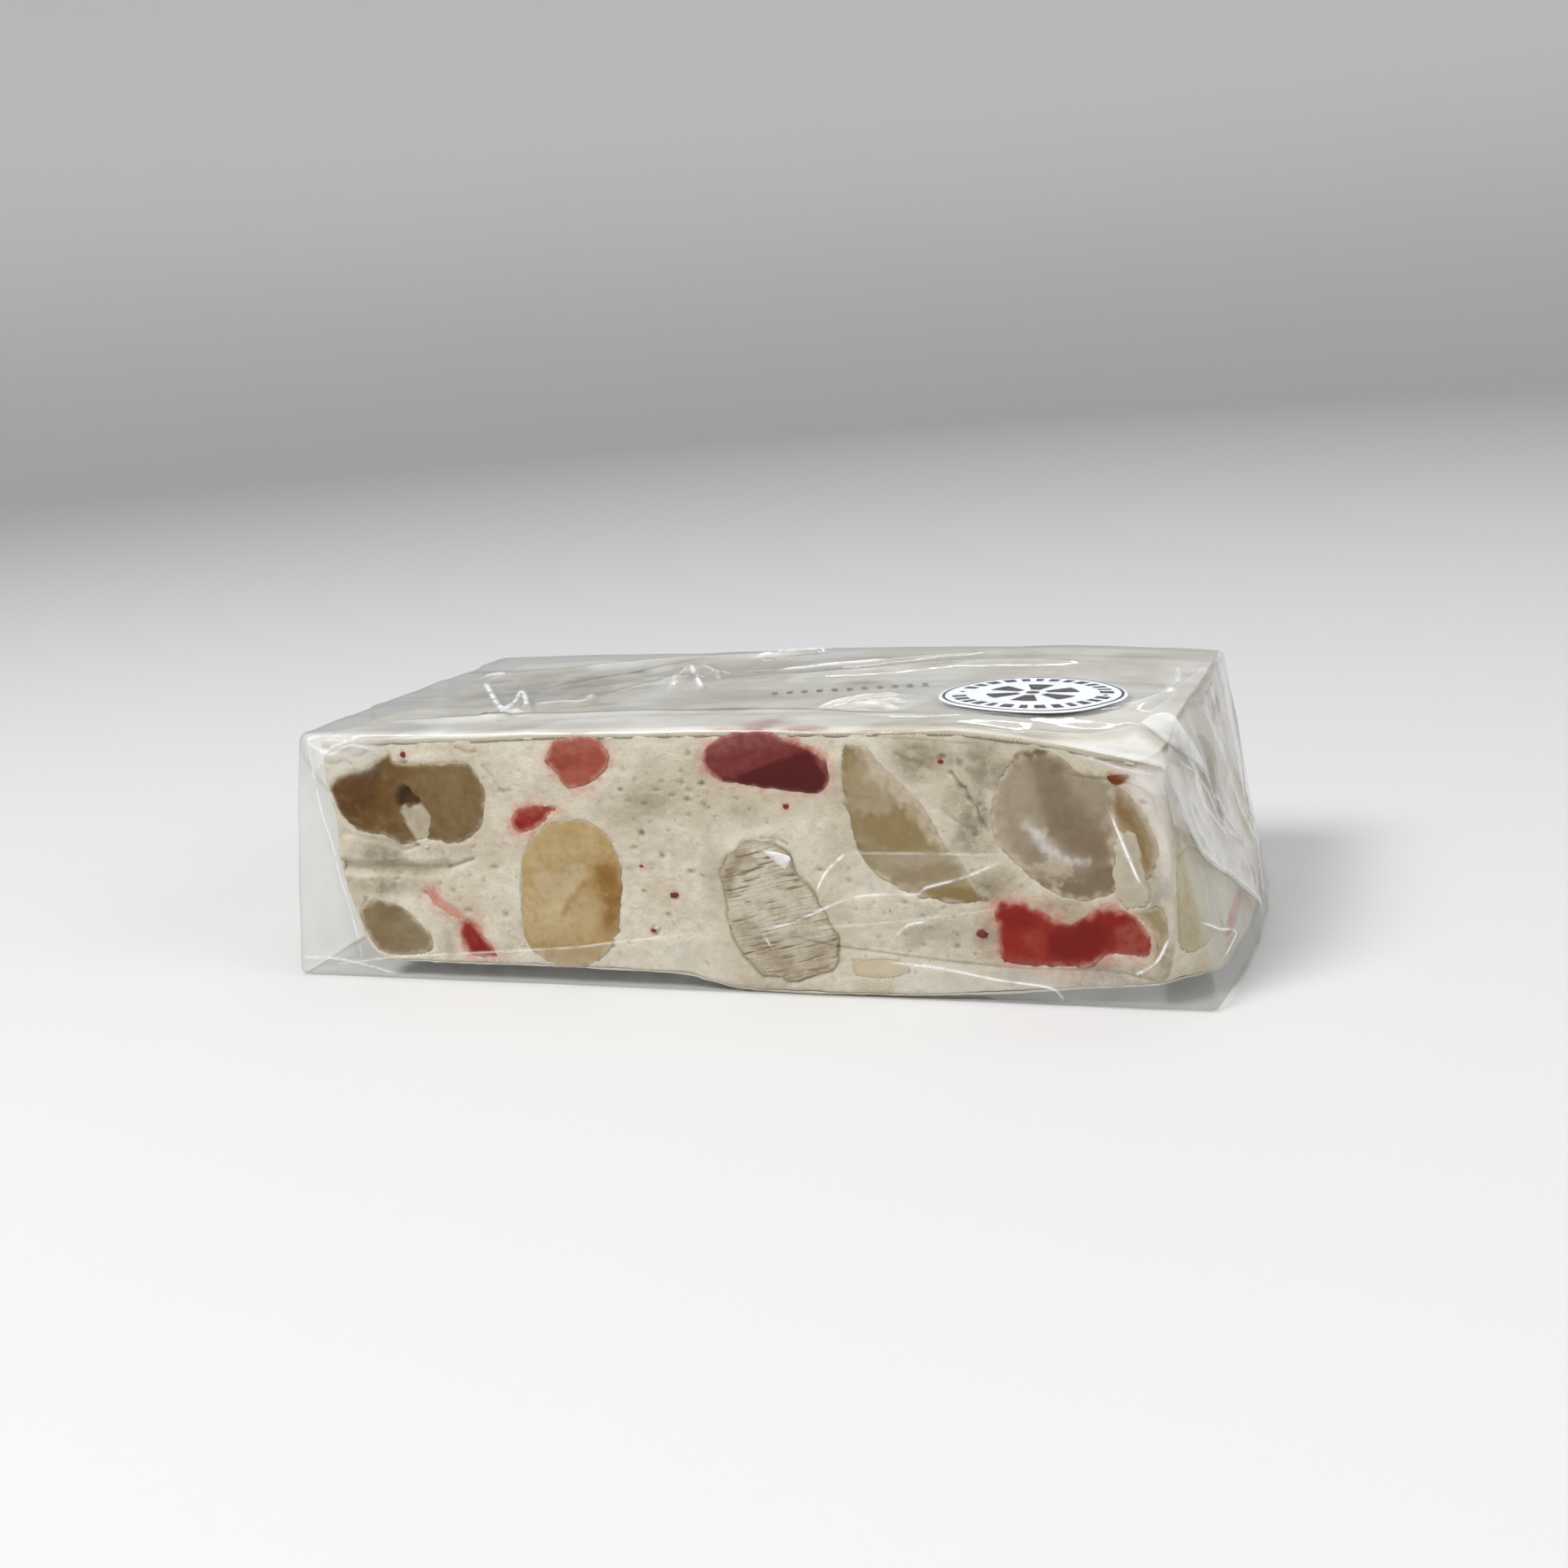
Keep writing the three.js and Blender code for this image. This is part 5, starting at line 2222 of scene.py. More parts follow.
def front_kernels() -> list[Inclusion]:
    """Set out the cut nuts of the front side.

    Returns:
        The nuts.
    """
    side = Side.FRONT
    return [
        Inclusion("nut_two_lobed", side, (
            (-50.4, 24.0), (-49.3, 25.5), (-47.2, 26.4), (-45.0, 26.7), (-43.2, 27.7), (-41.6, 28.6),
            (-40.6, 27.4), (-37.7, 27.3), (-34.5, 27.4), (-32.0, 27.5), (-30.4, 26.5), (-29.5, 24.6),
            (-29.5, 22.2), (-30.1, 20.2), (-31.6, 18.5), (-33.9, 17.4), (-36.4, 17.5), (-38.2, 17.7),
            (-39.7, 17.4), (-41.5, 17.2), (-42.1, 17.8), (-43.9, 18.3), (-46.5, 18.7), (-48.5, 19.7),
            (-49.7, 21.6),
        ), BROWN_NUT, "nut", rim=0.8, ragged=0.14, lip=0.85, smear=0.5, groove=0.15, spots=(
            Spot(Tone.DEEP, 0.5, ((-49.8, 23.5), (-46.5, 25.6), (-43.0, 26.6), (-44.5, 22.5), (-48.0, 20.6))),
            # The nut's hole: its darkest tone is painted shade in the recess.
            Spot(Tone.DEEP, 1.0, ((-41.3, 22.1), (-41.1, 23.5), (-40.1, 24.5), (-39.0, 23.7), (-38.2, 22.3),
                                  (-39.8, 22.0)), depth=0.9, softness=0.12),
            Spot(Tone.PALE, 1.0, ((-41.0, 21.8), (-39.6, 21.9), (-38.0, 22.2), (-37.1, 20.8), (-37.5, 19.0),
                                  (-38.4, 17.6), (-39.5, 17.9), (-40.6, 20.2)), depth=0.25, softness=0.12),
        )),
        Inclusion("nut_tall", side, (
            (-25.5, 15.6), (-24.3, 17.7), (-22.6, 19.5), (-20.3, 20.4), (-17.2, 20.6), (-14.9, 19.6),
            (-13.4, 17.9), (-12.6, 15.4), (-12.8, 11.8), (-13.4, 8.3), (-14.8, 5.1), (-17.3, 2.9),
            (-20.6, 2.2), (-23.4, 2.8), (-25.5, 4.4), (-26.3, 6.6), (-26.2, 10.0), (-26.0, 13.0),
        ), GOLDEN_NUT, "nut", turn=0, rim=1.1, ragged=0.12, lip=1.0, smear=0.6, spots=(
            Spot(Tone.DEEP, 0.85, ((-16.4, 13.4), (-14.6, 15.4), (-12.9, 14.2), (-12.9, 10.4), (-14.0, 7.2),
                                   (-15.6, 7.4), (-15.6, 10.4)), softness=2.2),
            Spot(Tone.DEEP, 0.35, ((-25.0, 5.0), (-22.0, 3.4), (-17.8, 3.6), (-16.6, 5.0), (-21.0, 5.4)),
                 softness=1.6),
            Spot(Tone.PALE, 0.35, ((-23.4, 9.6), (-20.6, 10.4), (-18.0, 10.8), (-16.4, 9.2), (-17.2, 7.0),
                                   (-20.4, 6.2), (-23.1, 7.0)), softness=2.9),
            Spot(Tone.PALE, 0.55, ((-24.4, 13.4), (-22.4, 14.4), (-20.9, 14.0), (-18.6, 15.4), (-17.3, 15.0),
                                   (-18.0, 13.1), (-19.7, 11.3), (-20.7, 9.6), (-22.1, 9.4), (-23.2, 11.0)),
                 depth=0.12, softness=0.6),
            Spot(Tone.DEEP, 0.4, ((-20.9, 9.2), (-19.4, 11.2), (-17.6, 13.2), (-17.4, 12.6), (-19.2, 10.6),
                                  (-20.5, 8.8)), softness=0.5),
        )),
        Inclusion("nut_left_foot", side, (
            (-48.5, 8.6), (-47.3, 9.8), (-45.3, 10.1), (-43.7, 9.8), (-41.8, 9.0), (-40.1, 7.2),
            (-38.8, 5.4), (-38.8, 3.9), (-40.6, 3.1), (-43.6, 2.9), (-46.0, 3.2), (-47.4, 4.8), (-48.4, 7.0),
        ), GREY_NUT, "nut", rim=1.0, lip=0.9, smear=0.9, spots=(
            Spot(Tone.DEEP, 0.4, ((-47.8, 8.4), (-45.0, 9.6), (-42.6, 9.0), (-44.8, 7.8)), softness=1.4),
        )),
        Inclusion("nut_scored", side, (
            (-0.2, 14.4), (0.5, 16.1), (2.7, 17.8), (5.6, 18.1), (7.8, 17.2), (9.2, 14.8), (11.2, 11.6),
            (12.7, 8.6), (13.4, 6.3), (13.0, 3.5), (10.6, 2.5), (8.6, 1.7), (6.2, 1.8), (3.8, 2.4),
            (2.4, 3.8), (0.8, 5.9), (0.1, 8.7), (0.0, 11.6),
        ), SCORED_NUT, "nut", turn=-80, rim=0.7, ragged=0.25, lip=0.6, smear=0.6, groove=0.5, spots=(
            Spot(Tone.DEEP, 0.7, ((0.2, 14.8), (1.8, 17.0), (4.4, 17.6), (5.4, 16.4), (2.6, 15.4),
                                  (1.4, 13.4), (0.4, 11.4)), softness=1.6),
            Spot(Tone.PALE, 0.55, ((3.4, 16.9), (5.2, 17.6), (6.8, 16.8), (5.2, 16.2)), softness=0.8),
            Spot(Tone.DEEP, 0.45, ((1.2, 7.4), (3.4, 5.2), (5.8, 2.6), (8.8, 2.4), (7.2, 4.6), (4.6, 7.2),
                                   (2.4, 9.4)), softness=2.4),
            Spot(Tone.DEEP, 0.3, ((8.6, 3.0), (11.6, 3.6), (12.6, 6.6), (11.0, 6.2), (9.4, 4.8)),
                 softness=1.6),
        )),
        Inclusion("nut_quarter_round", side, (
            (15.5, 29.1), (17.1, 29.4), (18.7, 28.8), (20.0, 27.0), (22.4, 24.6), (24.7, 21.9),
            (26.0, 19.2), (27.4, 17.2), (28.9, 15.2), (30.3, 12.0), (27.8, 11.4), (24.2, 11.9),
            (20.6, 13.0), (17.8, 15.2), (16.2, 18.0), (15.5, 21.6), (15.1, 25.7),
        ), OLIVE_NUT, "nut", turn=-50, rim=1.6, ragged=0.14, lip=1.0, smear=1.1, spots=(
            Spot(Tone.DEEP, 0.6, ((15.4, 29.0), (16.4, 28.6), (16.2, 24.0), (17.0, 18.6), (18.6, 15.4),
                                  (17.4, 15.4), (16.0, 18.4), (15.2, 24.0)), softness=1.2),
            Spot(Tone.PALE, 0.5, ((16.6, 27.2), (19.0, 27.2), (21.4, 24.8), (20.6, 23.2), (17.6, 22.4),
                                  (16.2, 23.2)), softness=1.6),
            Spot(Tone.DEEP, 0.7, ((17.0, 21.4), (20.6, 22.4), (23.6, 20.6), (24.4, 18.6), (22.7, 17.4),
                                  (19.4, 17.6), (17.4, 18.8)), softness=2.2, depth=0.06),
            Spot(Tone.PALE, 0.5, ((18.6, 16.6), (23.0, 17.2), (27.6, 17.0), (26.0, 16.2), (21.0, 15.8)),
                 softness=0.9),
            Spot(Tone.DEEP, 0.8, ((20.3, 14.6), (22.6, 15.3), (25.4, 16.0), (28.0, 15.6), (26.2, 14.7),
                                  (22.5, 13.6), (20.7, 13.8)), softness=0.8),
            Spot(Tone.DEEP, 1.0, ((24.3, 13.0), (28.4, 13.4), (30.2, 12.3), (29.8, 11.6), (26.5, 11.7)),
                 softness=0.7),
            Spot(Tone.CREAM, 0.9, ((19.0, 29.4), (22.6, 25.6), (25.4, 22.2), (28.6, 17.2), (25.8, 18.4),
                                   (24.0, 20.4), (21.8, 22.8), (18.6, 25.4), (17.4, 28.2)), softness=2.4,
                 depth=-0.05, ragged=1.2),
            Spot(Tone.CREAM, 0.35, ((16.4, 22.6), (20.4, 23.6), (21.0, 22.4), (17.6, 21.4)), softness=0.9,
                 ragged=0.9),
        )),
        Inclusion("nut_broad", side, (
            (31.9, 22.5), (32.9, 25.3), (34.3, 27.6), (35.6, 28.8), (38.0, 29.0), (39.9, 28.1), (41.6, 26.6),
            (43.4, 26.0), (45.1, 25.7), (45.3, 24.4), (45.4, 22.7), (45.5, 21.1), (45.6, 19.5), (45.4, 18.2),
            (45.4, 16.4), (45.5, 14.4), (44.9, 13.0), (43.5, 12.4), (41.2, 12.1), (38.9, 12.5),
            (37.0, 13.6), (35.1, 15.4), (32.9, 17.4), (31.8, 19.8),
        ), CLEAR_NUT, "nut", turn=-20, rim=1.4, ragged=0.16, lip=1.0, smear=1.7, spots=(
            Spot(Tone.PALE, 0.3, ((33.6, 26.0), (36.4, 27.8), (37.2, 24.6), (38.2, 20.6), (35.6, 18.0),
                                  (32.8, 19.6), (32.4, 23.0)), softness=1.4),
            Spot(Tone.DEEP, 0.6, ((36.9, 27.7), (39.9, 27.5), (40.4, 25.4), (41.2, 22.6), (42.6, 20.3),
                                  (44.1, 19.5), (44.0, 16.8), (42.5, 16.7), (39.9, 18.1), (38.3, 20.6),
                                  (37.2, 22.6)), softness=2.6, depth=0.08),
            Spot(Tone.PALE, 0.45, ((40.6, 26.4), (43.8, 25.4), (44.8, 22.4), (43.2, 22.0), (41.6, 24.0)),
                 softness=1.8),
            Spot(Tone.DEEP, 0.6, ((42.8, 15.8), (45.2, 16.3), (45.2, 13.8), (43.4, 12.8), (40.4, 12.6),
                                  (37.2, 14.0), (39.6, 14.0), (41.8, 14.4)), softness=1.0),
            Spot(Tone.CREAM, 0.6, ((31.0, 26.6), (33.6, 26.8), (33.0, 22.0), (34.0, 17.2), (32.0, 17.0),
                                   (31.0, 21.0)), softness=2.6, ragged=0.8),
            Spot(Tone.CREAM, 0.3, ((34.0, 24.6), (36.0, 25.6), (36.4, 22.0), (34.6, 19.6)), softness=1.8,
                 ragged=1.2),
            Spot(Tone.CREAM, 0.75, ((35.7, 20.4), (36.9, 20.2), (38.4, 18.7), (39.5, 17.1), (42.1, 17.3),
                                    (41.3, 16.3), (40.9, 15.3), (39.3, 14.7), (37.4, 15.3), (36.4, 16.2),
                                    (38.1, 16.9), (37.2, 18.2)), softness=0.5, depth=-0.1, ragged=1.5),
            Spot(Tone.DEEP, 1.0, ((34.7, 28.6), (36.5, 29.3), (38.3, 29.1), (38.0, 28.1), (35.8, 27.8)),
                 softness=0.8, ragged=0.6),
        )),
        Inclusion("nut_curved_sliver", side, (
            (45.0, 25.0), (46.2, 24.7), (47.3, 23.5), (48.2, 22.5), (48.9, 21.1), (49.7, 18.8), (49.9, 17.5),
            (49.5, 16.2), (48.9, 15.0), (48.2, 14.8), (47.6, 16.4), (47.2, 18.4), (46.2, 19.4),
            (45.2, 20.4), (45.1, 22.7),
        ), TOASTED_NUT, "nut", turn=-90, proud=0.06, rim=0.9, ragged=0.12, lip=0.8, smear=0.8, spots=(
            Spot(Tone.DEEP, 0.8, ((45.6, 23.6), (46.6, 22.4), (47.6, 20.6), (48.2, 18.2), (48.6, 16.4),
                                  (47.7, 18.2), (46.8, 20.6), (45.6, 22.0)), softness=0.8),
        )),
        Inclusion("nut_right_edge", side, (
            (47.2, 10.9), (48.6, 11.6), (50.0, 11.8), (50.6, 10.2), (50.6, 8.0), (50.0, 6.0), (49.3, 6.8),
            (49.0, 8.6), (48.0, 9.8),
        ), OLIVE_NUT, "nut", turn=60, rim=0.6, smear=0.9),
        Inclusion("nut_pale_flake", side, (
            (46.6, 20.3), (47.2, 19.8), (47.8, 18.4), (48.1, 16.4), (48.3, 14.5), (48.9, 12.9), (48.7, 11.9),
            (47.2, 11.2), (45.8, 11.6), (45.1, 13.0), (45.0, 14.4), (45.1, 16.4), (45.1, 18.2), (45.9, 19.2),
        ), FLAKE_NUT, "nut", proud=0.12, rim=0.9, lip=0.9, smear=0.9, ragged=0.4, depth=1.5),
        Inclusion("nut_low_sliver", side, (
            (15.2, 4.3), (17.8, 4.6), (20.4, 4.5), (21.7, 3.4), (19.6, 2.4), (15.4, 2.5),
        ), FAINT_NUT, "nut", rim=1.0, lip=1.0, smear=1.2, depth=2.0),
    ]


def front_fruit() -> list[Inclusion]:
    """Set out the pieces of fruit that the front side cuts through.

    Returns:
        The pieces of fruit.
    """
    side = Side.FRONT
    return [
        Inclusion("fruit_round", side, (
            (-21.0, 27.7), (-19.9, 29.6), (-18.4, 30.4), (-16.0, 30.5), (-14.1, 30.2), (-13.0, 28.8),
            (-13.0, 27.5), (-14.1, 25.9), (-16.1, 24.8), (-17.9, 24.4), (-19.0, 25.1), (-20.2, 26.6),
        ), CORAL_FRUIT, "fruit", turn=-60, proud=0.1, depth=4, smear=0.7, ragged=0.22, stain=0.5, spots=(
            Spot(Tone.PALE, 0.7, ((-20.2, 29.0), (-18.0, 30.4), (-14.0, 30.2), (-14.4, 28.8), (-18.0, 28.6)),
                 softness=1.6),
            Spot(Tone.PALE, 0.4, ((-18.6, 26.4), (-15.4, 26.8), (-15.8, 25.0), (-18.0, 24.8)), softness=1.4),
        )),
        Inclusion("fruit_top", side, (
            (-1.3, 27.8), (-0.2, 29.6), (2.2, 30.8), (4.8, 31.0), (7.1, 30.9), (8.6, 30.2), (11.2, 29.6),
            (13.0, 28.2), (13.7, 26.6), (13.4, 25.1), (12.0, 24.0), (8.4, 24.3), (4.2, 24.7), (1.4, 25.2),
            (-0.4, 26.1),
        ), CRIMSON_FRUIT, "fruit", turn=-55, proud=0.16, depth=4, smear=0.6, ragged=0.2, stain=0.5, spots=(
            Spot(Tone.PALE, 0.6, ((-0.6, 29.2), (2.4, 30.9), (7.0, 30.8), (8.6, 29.8), (5.0, 29.4),
                                  (1.0, 28.6)), softness=1.8),
            Spot(Tone.DEEP, 1.0, ((1.0, 25.4), (3.4, 26.1), (6.8, 27.3), (11.1, 28.7), (13.3, 27.3),
                                  (13.7, 25.9), (11.9, 23.7), (8.5, 24.1), (4.2, 24.6)), softness=0.5),
            Spot(Tone.PALE, 0.5, ((12.4, 28.4), (13.4, 27.4), (13.6, 25.8), (13.0, 26.4), (12.6, 27.4)),
                 softness=0.6),
        )),
        Inclusion("fruit_small", side, (
            (-26.1, 20.7), (-25.2, 21.9), (-23.1, 22.2), (-21.9, 22.2), (-20.4, 22.0), (-21.4, 20.7),
            (-23.0, 19.3), (-24.8, 18.8), (-26.0, 19.3),
        ), SCARLET_FRUIT, "fruit", turn=0, depth=2.5, ragged=0.2, rim=0.9, stain=0.55, spots=(
            Spot(Tone.PALE, 0.6, ((-25.6, 21.6), (-23.0, 22.2), (-20.6, 22.0), (-22.4, 21.2), (-25.0, 20.9)),
                 softness=0.8),
        )),
        Inclusion("fruit_wedge", side, (
            (-34.5, 7.6), (-33.1, 8.0), (-31.7, 6.2), (-30.5, 4.4), (-30.2, 3.2), (-32.0, 3.1),
            (-33.7, 3.2), (-34.6, 4.6), (-34.8, 5.8),
        ), SCARLET_FRUIT, "fruit", turn=-60, depth=2.5, ragged=0.12, rim=0.9, stain=0.55),
        Inclusion("fruit_streak", side, (
            (-38.7, 11.4), (-37.9, 12.0), (-36.7, 10.6), (-34.9, 9.3), (-33.7, 8.4), (-34.6, 7.8),
            (-36.3, 8.6), (-38.0, 9.9),
        ), ROSE_FRUIT, "fruit", turn=-50, depth=1.2, ragged=0.2, rim=0.6, smear=1.0, stain=0.4, spots=(
            Spot(Tone.CREAM, 0.6, ((-37.2, 10.2), (-35.8, 9.2), (-35.2, 9.8), (-36.6, 10.6)), softness=0.8),
        )),
        Inclusion("fruit_large", side, (
            (31.9, 11.6), (34.9, 11.7), (36.9, 10.9), (38.4, 10.0), (39.9, 9.5), (41.2, 10.1), (43.1, 11.4),
            (45.8, 11.3), (47.3, 10.4), (48.4, 9.0), (48.9, 7.6), (48.4, 6.2), (46.6, 5.9), (45.1, 6.1),
            (43.3, 5.3), (41.5, 4.4), (39.2, 4.3), (37.2, 4.5), (35.1, 4.4), (32.4, 4.7), (31.9, 6.6),
            (31.8, 8.5),
        ), SCARLET_FRUIT, "fruit", turn=0, depth=4.5, ragged=0.22, stain=0.55, spots=(
            Spot(Tone.DEEP, 0.8, ((37.0, 7.6), (39.6, 9.2), (42.4, 9.8), (44.0, 8.2), (42.6, 6.2),
                                  (39.8, 5.2), (37.6, 5.6)), softness=1.8),
            Spot(Tone.DEEP, 0.5, ((32.2, 11.0), (35.4, 11.0), (36.2, 9.0), (33.0, 8.8)), softness=1.6),
            Spot(Tone.PALE, 0.22, ((34.6, 8.2), (37.2, 8.4), (37.4, 6.8), (36.8, 4.9), (35.3, 6.4)),
                 softness=0.8),
            Spot(Tone.PALE, 0.7, ((45.6, 9.2), (47.2, 9.6), (48.7, 8.3), (48.6, 6.6), (46.8, 6.2),
                                  (44.8, 7.2)), softness=1.4),
            Spot(Tone.PALE, 0.6, ((32.4, 5.6), (36.8, 5.2), (41.0, 5.0), (38.0, 4.2), (32.6, 4.4)),
                 softness=1.0),
        )),
        Inclusion("fruit_fleck", side, (
            (44.6, 26.0), (45.4, 26.2), (46.9, 26.1), (46.5, 25.6), (45.7, 25.1), (45.1, 25.3),
        ), RUSSET_FRUIT, "fruit", proud=0.3, depth=0.8, rim=0.2, ragged=0.1, fineness=0.16, lip=0.0,
                  smear=0.1, stain=0.25),
    ]


def other_side_pieces() -> list[Inclusion]:
    """Set out the nuts and fruit of the right end, and plausible ones for the back and the left end.

    Returns:
        The nuts and the fruit.
    """
    nuts = (
        (Side.BACK, (-38.0, 19.0), 17.0, 11.5, 15, GOLDEN_NUT),
        (Side.BACK, (-21.0, 9.5), 12.5, 11.0, -30, BROWN_NUT),
        (Side.BACK, (-5.0, 21.0), 17.0, 11.0, -10, OLIVE_NUT),
        (Side.BACK, (12.0, 10.0), 14.0, 12.0, 25, GREY_NUT),
        (Side.BACK, (31.5, 19.5), 18.0, 12.0, 8, CLEAR_NUT),
        (Side.BACK, (44.0, 8.5), 9.0, 9.0, 0, TOASTED_NUT),
        (Side.LEFT, (-14.0, 17.0), 15.0, 12.0, 20, BROWN_NUT),
        (Side.LEFT, (9.0, 11.5), 16.0, 12.5, -15, GOLDEN_NUT),
        (Side.LEFT, (19.5, 23.0), 9.0, 7.0, 30, GREY_NUT),
        (Side.RIGHT, (-3.0, 19.5), 15.0, 12.0, 12, OLIVE_NUT),
        (Side.RIGHT, (17.0, 11.0), 13.0, 11.0, -20, GOLDEN_NUT),
    )
    fruit = (
        (Side.BACK, (-26.5, 24.5), 8.0, 5.5, 10, SCARLET_FRUIT),
        (Side.BACK, (-35.0, 7.0), 7.0, 5.0, -25, CRIMSON_FRUIT),
        (Side.BACK, (0.5, 8.0), 5.5, 4.5, 40, CORAL_FRUIT),
        (Side.BACK, (19.5, 25.0), 8.5, 4.8, -8, CRIMSON_FRUIT),
        (Side.BACK, (27.0, 6.5), 6.0, 4.5, 15, SCARLET_FRUIT),
        (Side.LEFT, (-1.0, 23.5), 7.0, 5.5, 0, CRIMSON_FRUIT),
        (Side.LEFT, (-18.0, 6.5), 8.0, 4.5, 12, SCARLET_FRUIT),
        (Side.RIGHT, (3.0, 6.5), 6.0, 4.5, -30, SCARLET_FRUIT),
        (Side.RIGHT, (14.0, 24.5), 7.5, 4.0, 6, CRIMSON_FRUIT),
    )
    pieces = [
        Inclusion("nut_corner", Side.RIGHT, (
            (-25.3, 16.3), (-23.5, 17.1), (-20.5, 16.6), (-18.6, 15.0), (-18.9, 12.0), (-19.9, 9.3),
            (-20.3, 7.6), (-21.4, 6.3), (-23.3, 5.7), (-25.2, 5.9), (-26.2, 7.4), (-26.3, 11.0),
            (-26.1, 14.5),
        ), IVORY_NUT, "nut", turn=90, rim=0.8, lip=0.5, depth=4.0),
        Inclusion("fruit_slit", Side.RIGHT, (
            (-18.4, 15.1), (-17.5, 14.7), (-17.8, 13.4), (-18.1, 11.5), (-18.8, 9.6), (-19.9, 7.9),
            (-20.4, 8.5), (-19.7, 11.0), (-19.1, 12.9),
        ), CRIMSON_FRUIT, "fruit", proud=-0.2, rim=0.3, lip=0.2, smear=0.2, blur=0.1, depth=2.0, ragged=0.1,
                  fineness=0.25),
        Inclusion("fruit_stripe", Side.RIGHT, (
            (-5.5, 7.1), (-3.1, 6.2), (-6.6, 5.4), (-10.3, 4.8), (-14.5, 4.6), (-16.9, 5.2), (-15.0, 6.2),
            (-11.5, 6.7), (-8.2, 7.1),
        ), ROSE_FRUIT, "fruit", rim=0.5, lip=0.6, depth=1.5),
    ]
    for number, (side, middle, wide, tall, turn, finish) in enumerate(nuts):
        outline = oval(middle, wide, tall, turn, 200 + number)
        name = f"nut_{side.name.lower()}_{number}"
        pieces.append(Inclusion(name, side, outline, finish, "nut", turn=turn, fineness=0.42))
    for number, (side, middle, wide, tall, turn, finish) in enumerate(fruit):
        outline = oval(middle, wide, tall, turn, 300 + number)
        name = f"fruit_{side.name.lower()}_{number}"
        pieces.append(Inclusion(name, side, outline, finish, "fruit", turn=turn, depth=3.0,
                                ragged=min(0.22, wide / 8), rim=min(1.3, wide / 3), fineness=0.45,
                                stain=0.55))
    return pieces


# Grooves and cracks for each side: points, width, depth, and the darkness of their painted shade.
SCARS = {
    Side.FRONT: (
        (((-50.1, 14.4), (-46.8, 14.0), (-42.4, 14.2), (-38.8, 14.1), (-35.6, 14.4)), 1.3, 0.7, 0.35),
        (((-35.8, 14.2), (-34.6, 14.6), (-33.4, 15.0), (-31.9, 15.5)), 0.4, 0.4, 0.6),
        (((-42.0, 17.3), (-41.5, 16.7), (-40.8, 16.6), (-39.1, 17.1)), 0.35, 0.3, 0.25),
        (((-49.4, 18.6), (-46.6, 18.0), (-43.8, 17.6), (-42.2, 17.2)), 0.6, 0.2, 0.1),
        (((-50.6, 29.6), (-49.0, 28.6), (-47.6, 28.9), (-46.2, 28.2), (-44.6, 28.8)), 0.5, 0.35, 0.25),
        (((-50.8, 27.4), (-49.4, 27.2), (-48.2, 27.6), (-47.0, 27.2)), 0.4, 0.3, 0.2),
        (((-32.6, 29.2), (-31.0, 28.6), (-30.0, 28.8)), 0.35, 0.25, 0.25),
        (((-29.2, 26.9), (-28.2, 25.6), (-27.4, 24.2)), 0.4, 0.25, 0.15),
        (((27.6, 26.4), (28.3, 25.4), (28.7, 24.7), (29.3, 24.2), (29.6, 23.2), (30.3, 22.4),
         (30.7, 21.0), (31.4, 19.8)), 0.32, 0.35, 0.75),
        (((26.4, 22.2), (27.2, 21.5), (28.4, 20.7), (29.2, 20.2), (29.9, 19.0)), 0.4, 0.2, 0.3),
        (((31.0, 25.6), (31.2, 22.6), (31.0, 20.2)), 0.6, 0.2, 0.12),
        (((21.6, 28.4), (23.0, 27.6), (24.4, 27.4), (25.6, 26.6)), 0.5, 0.2, 0.25),
        (((5.0, 18.7), (6.8, 18.6), (8.2, 18.0)), 0.3, 0.2, 0.5),
    ),
    Side.BACK: (
        (((-48.0, 13.0), (-42.0, 12.4), (-34.0, 13.2)), 0.9, 0.5, 0.3),
    ),
    Side.LEFT: (
        (((-24.0, 11.0), (-16.0, 10.2), (-6.0, 11.0)), 0.8, 0.5, 0.3),
    ),
    Side.RIGHT: (
        (((-24.0, 24.0), (-19.0, 20.0), (-15.0, 19.0)), 0.6, 0.4, 0.35),
    ),
}

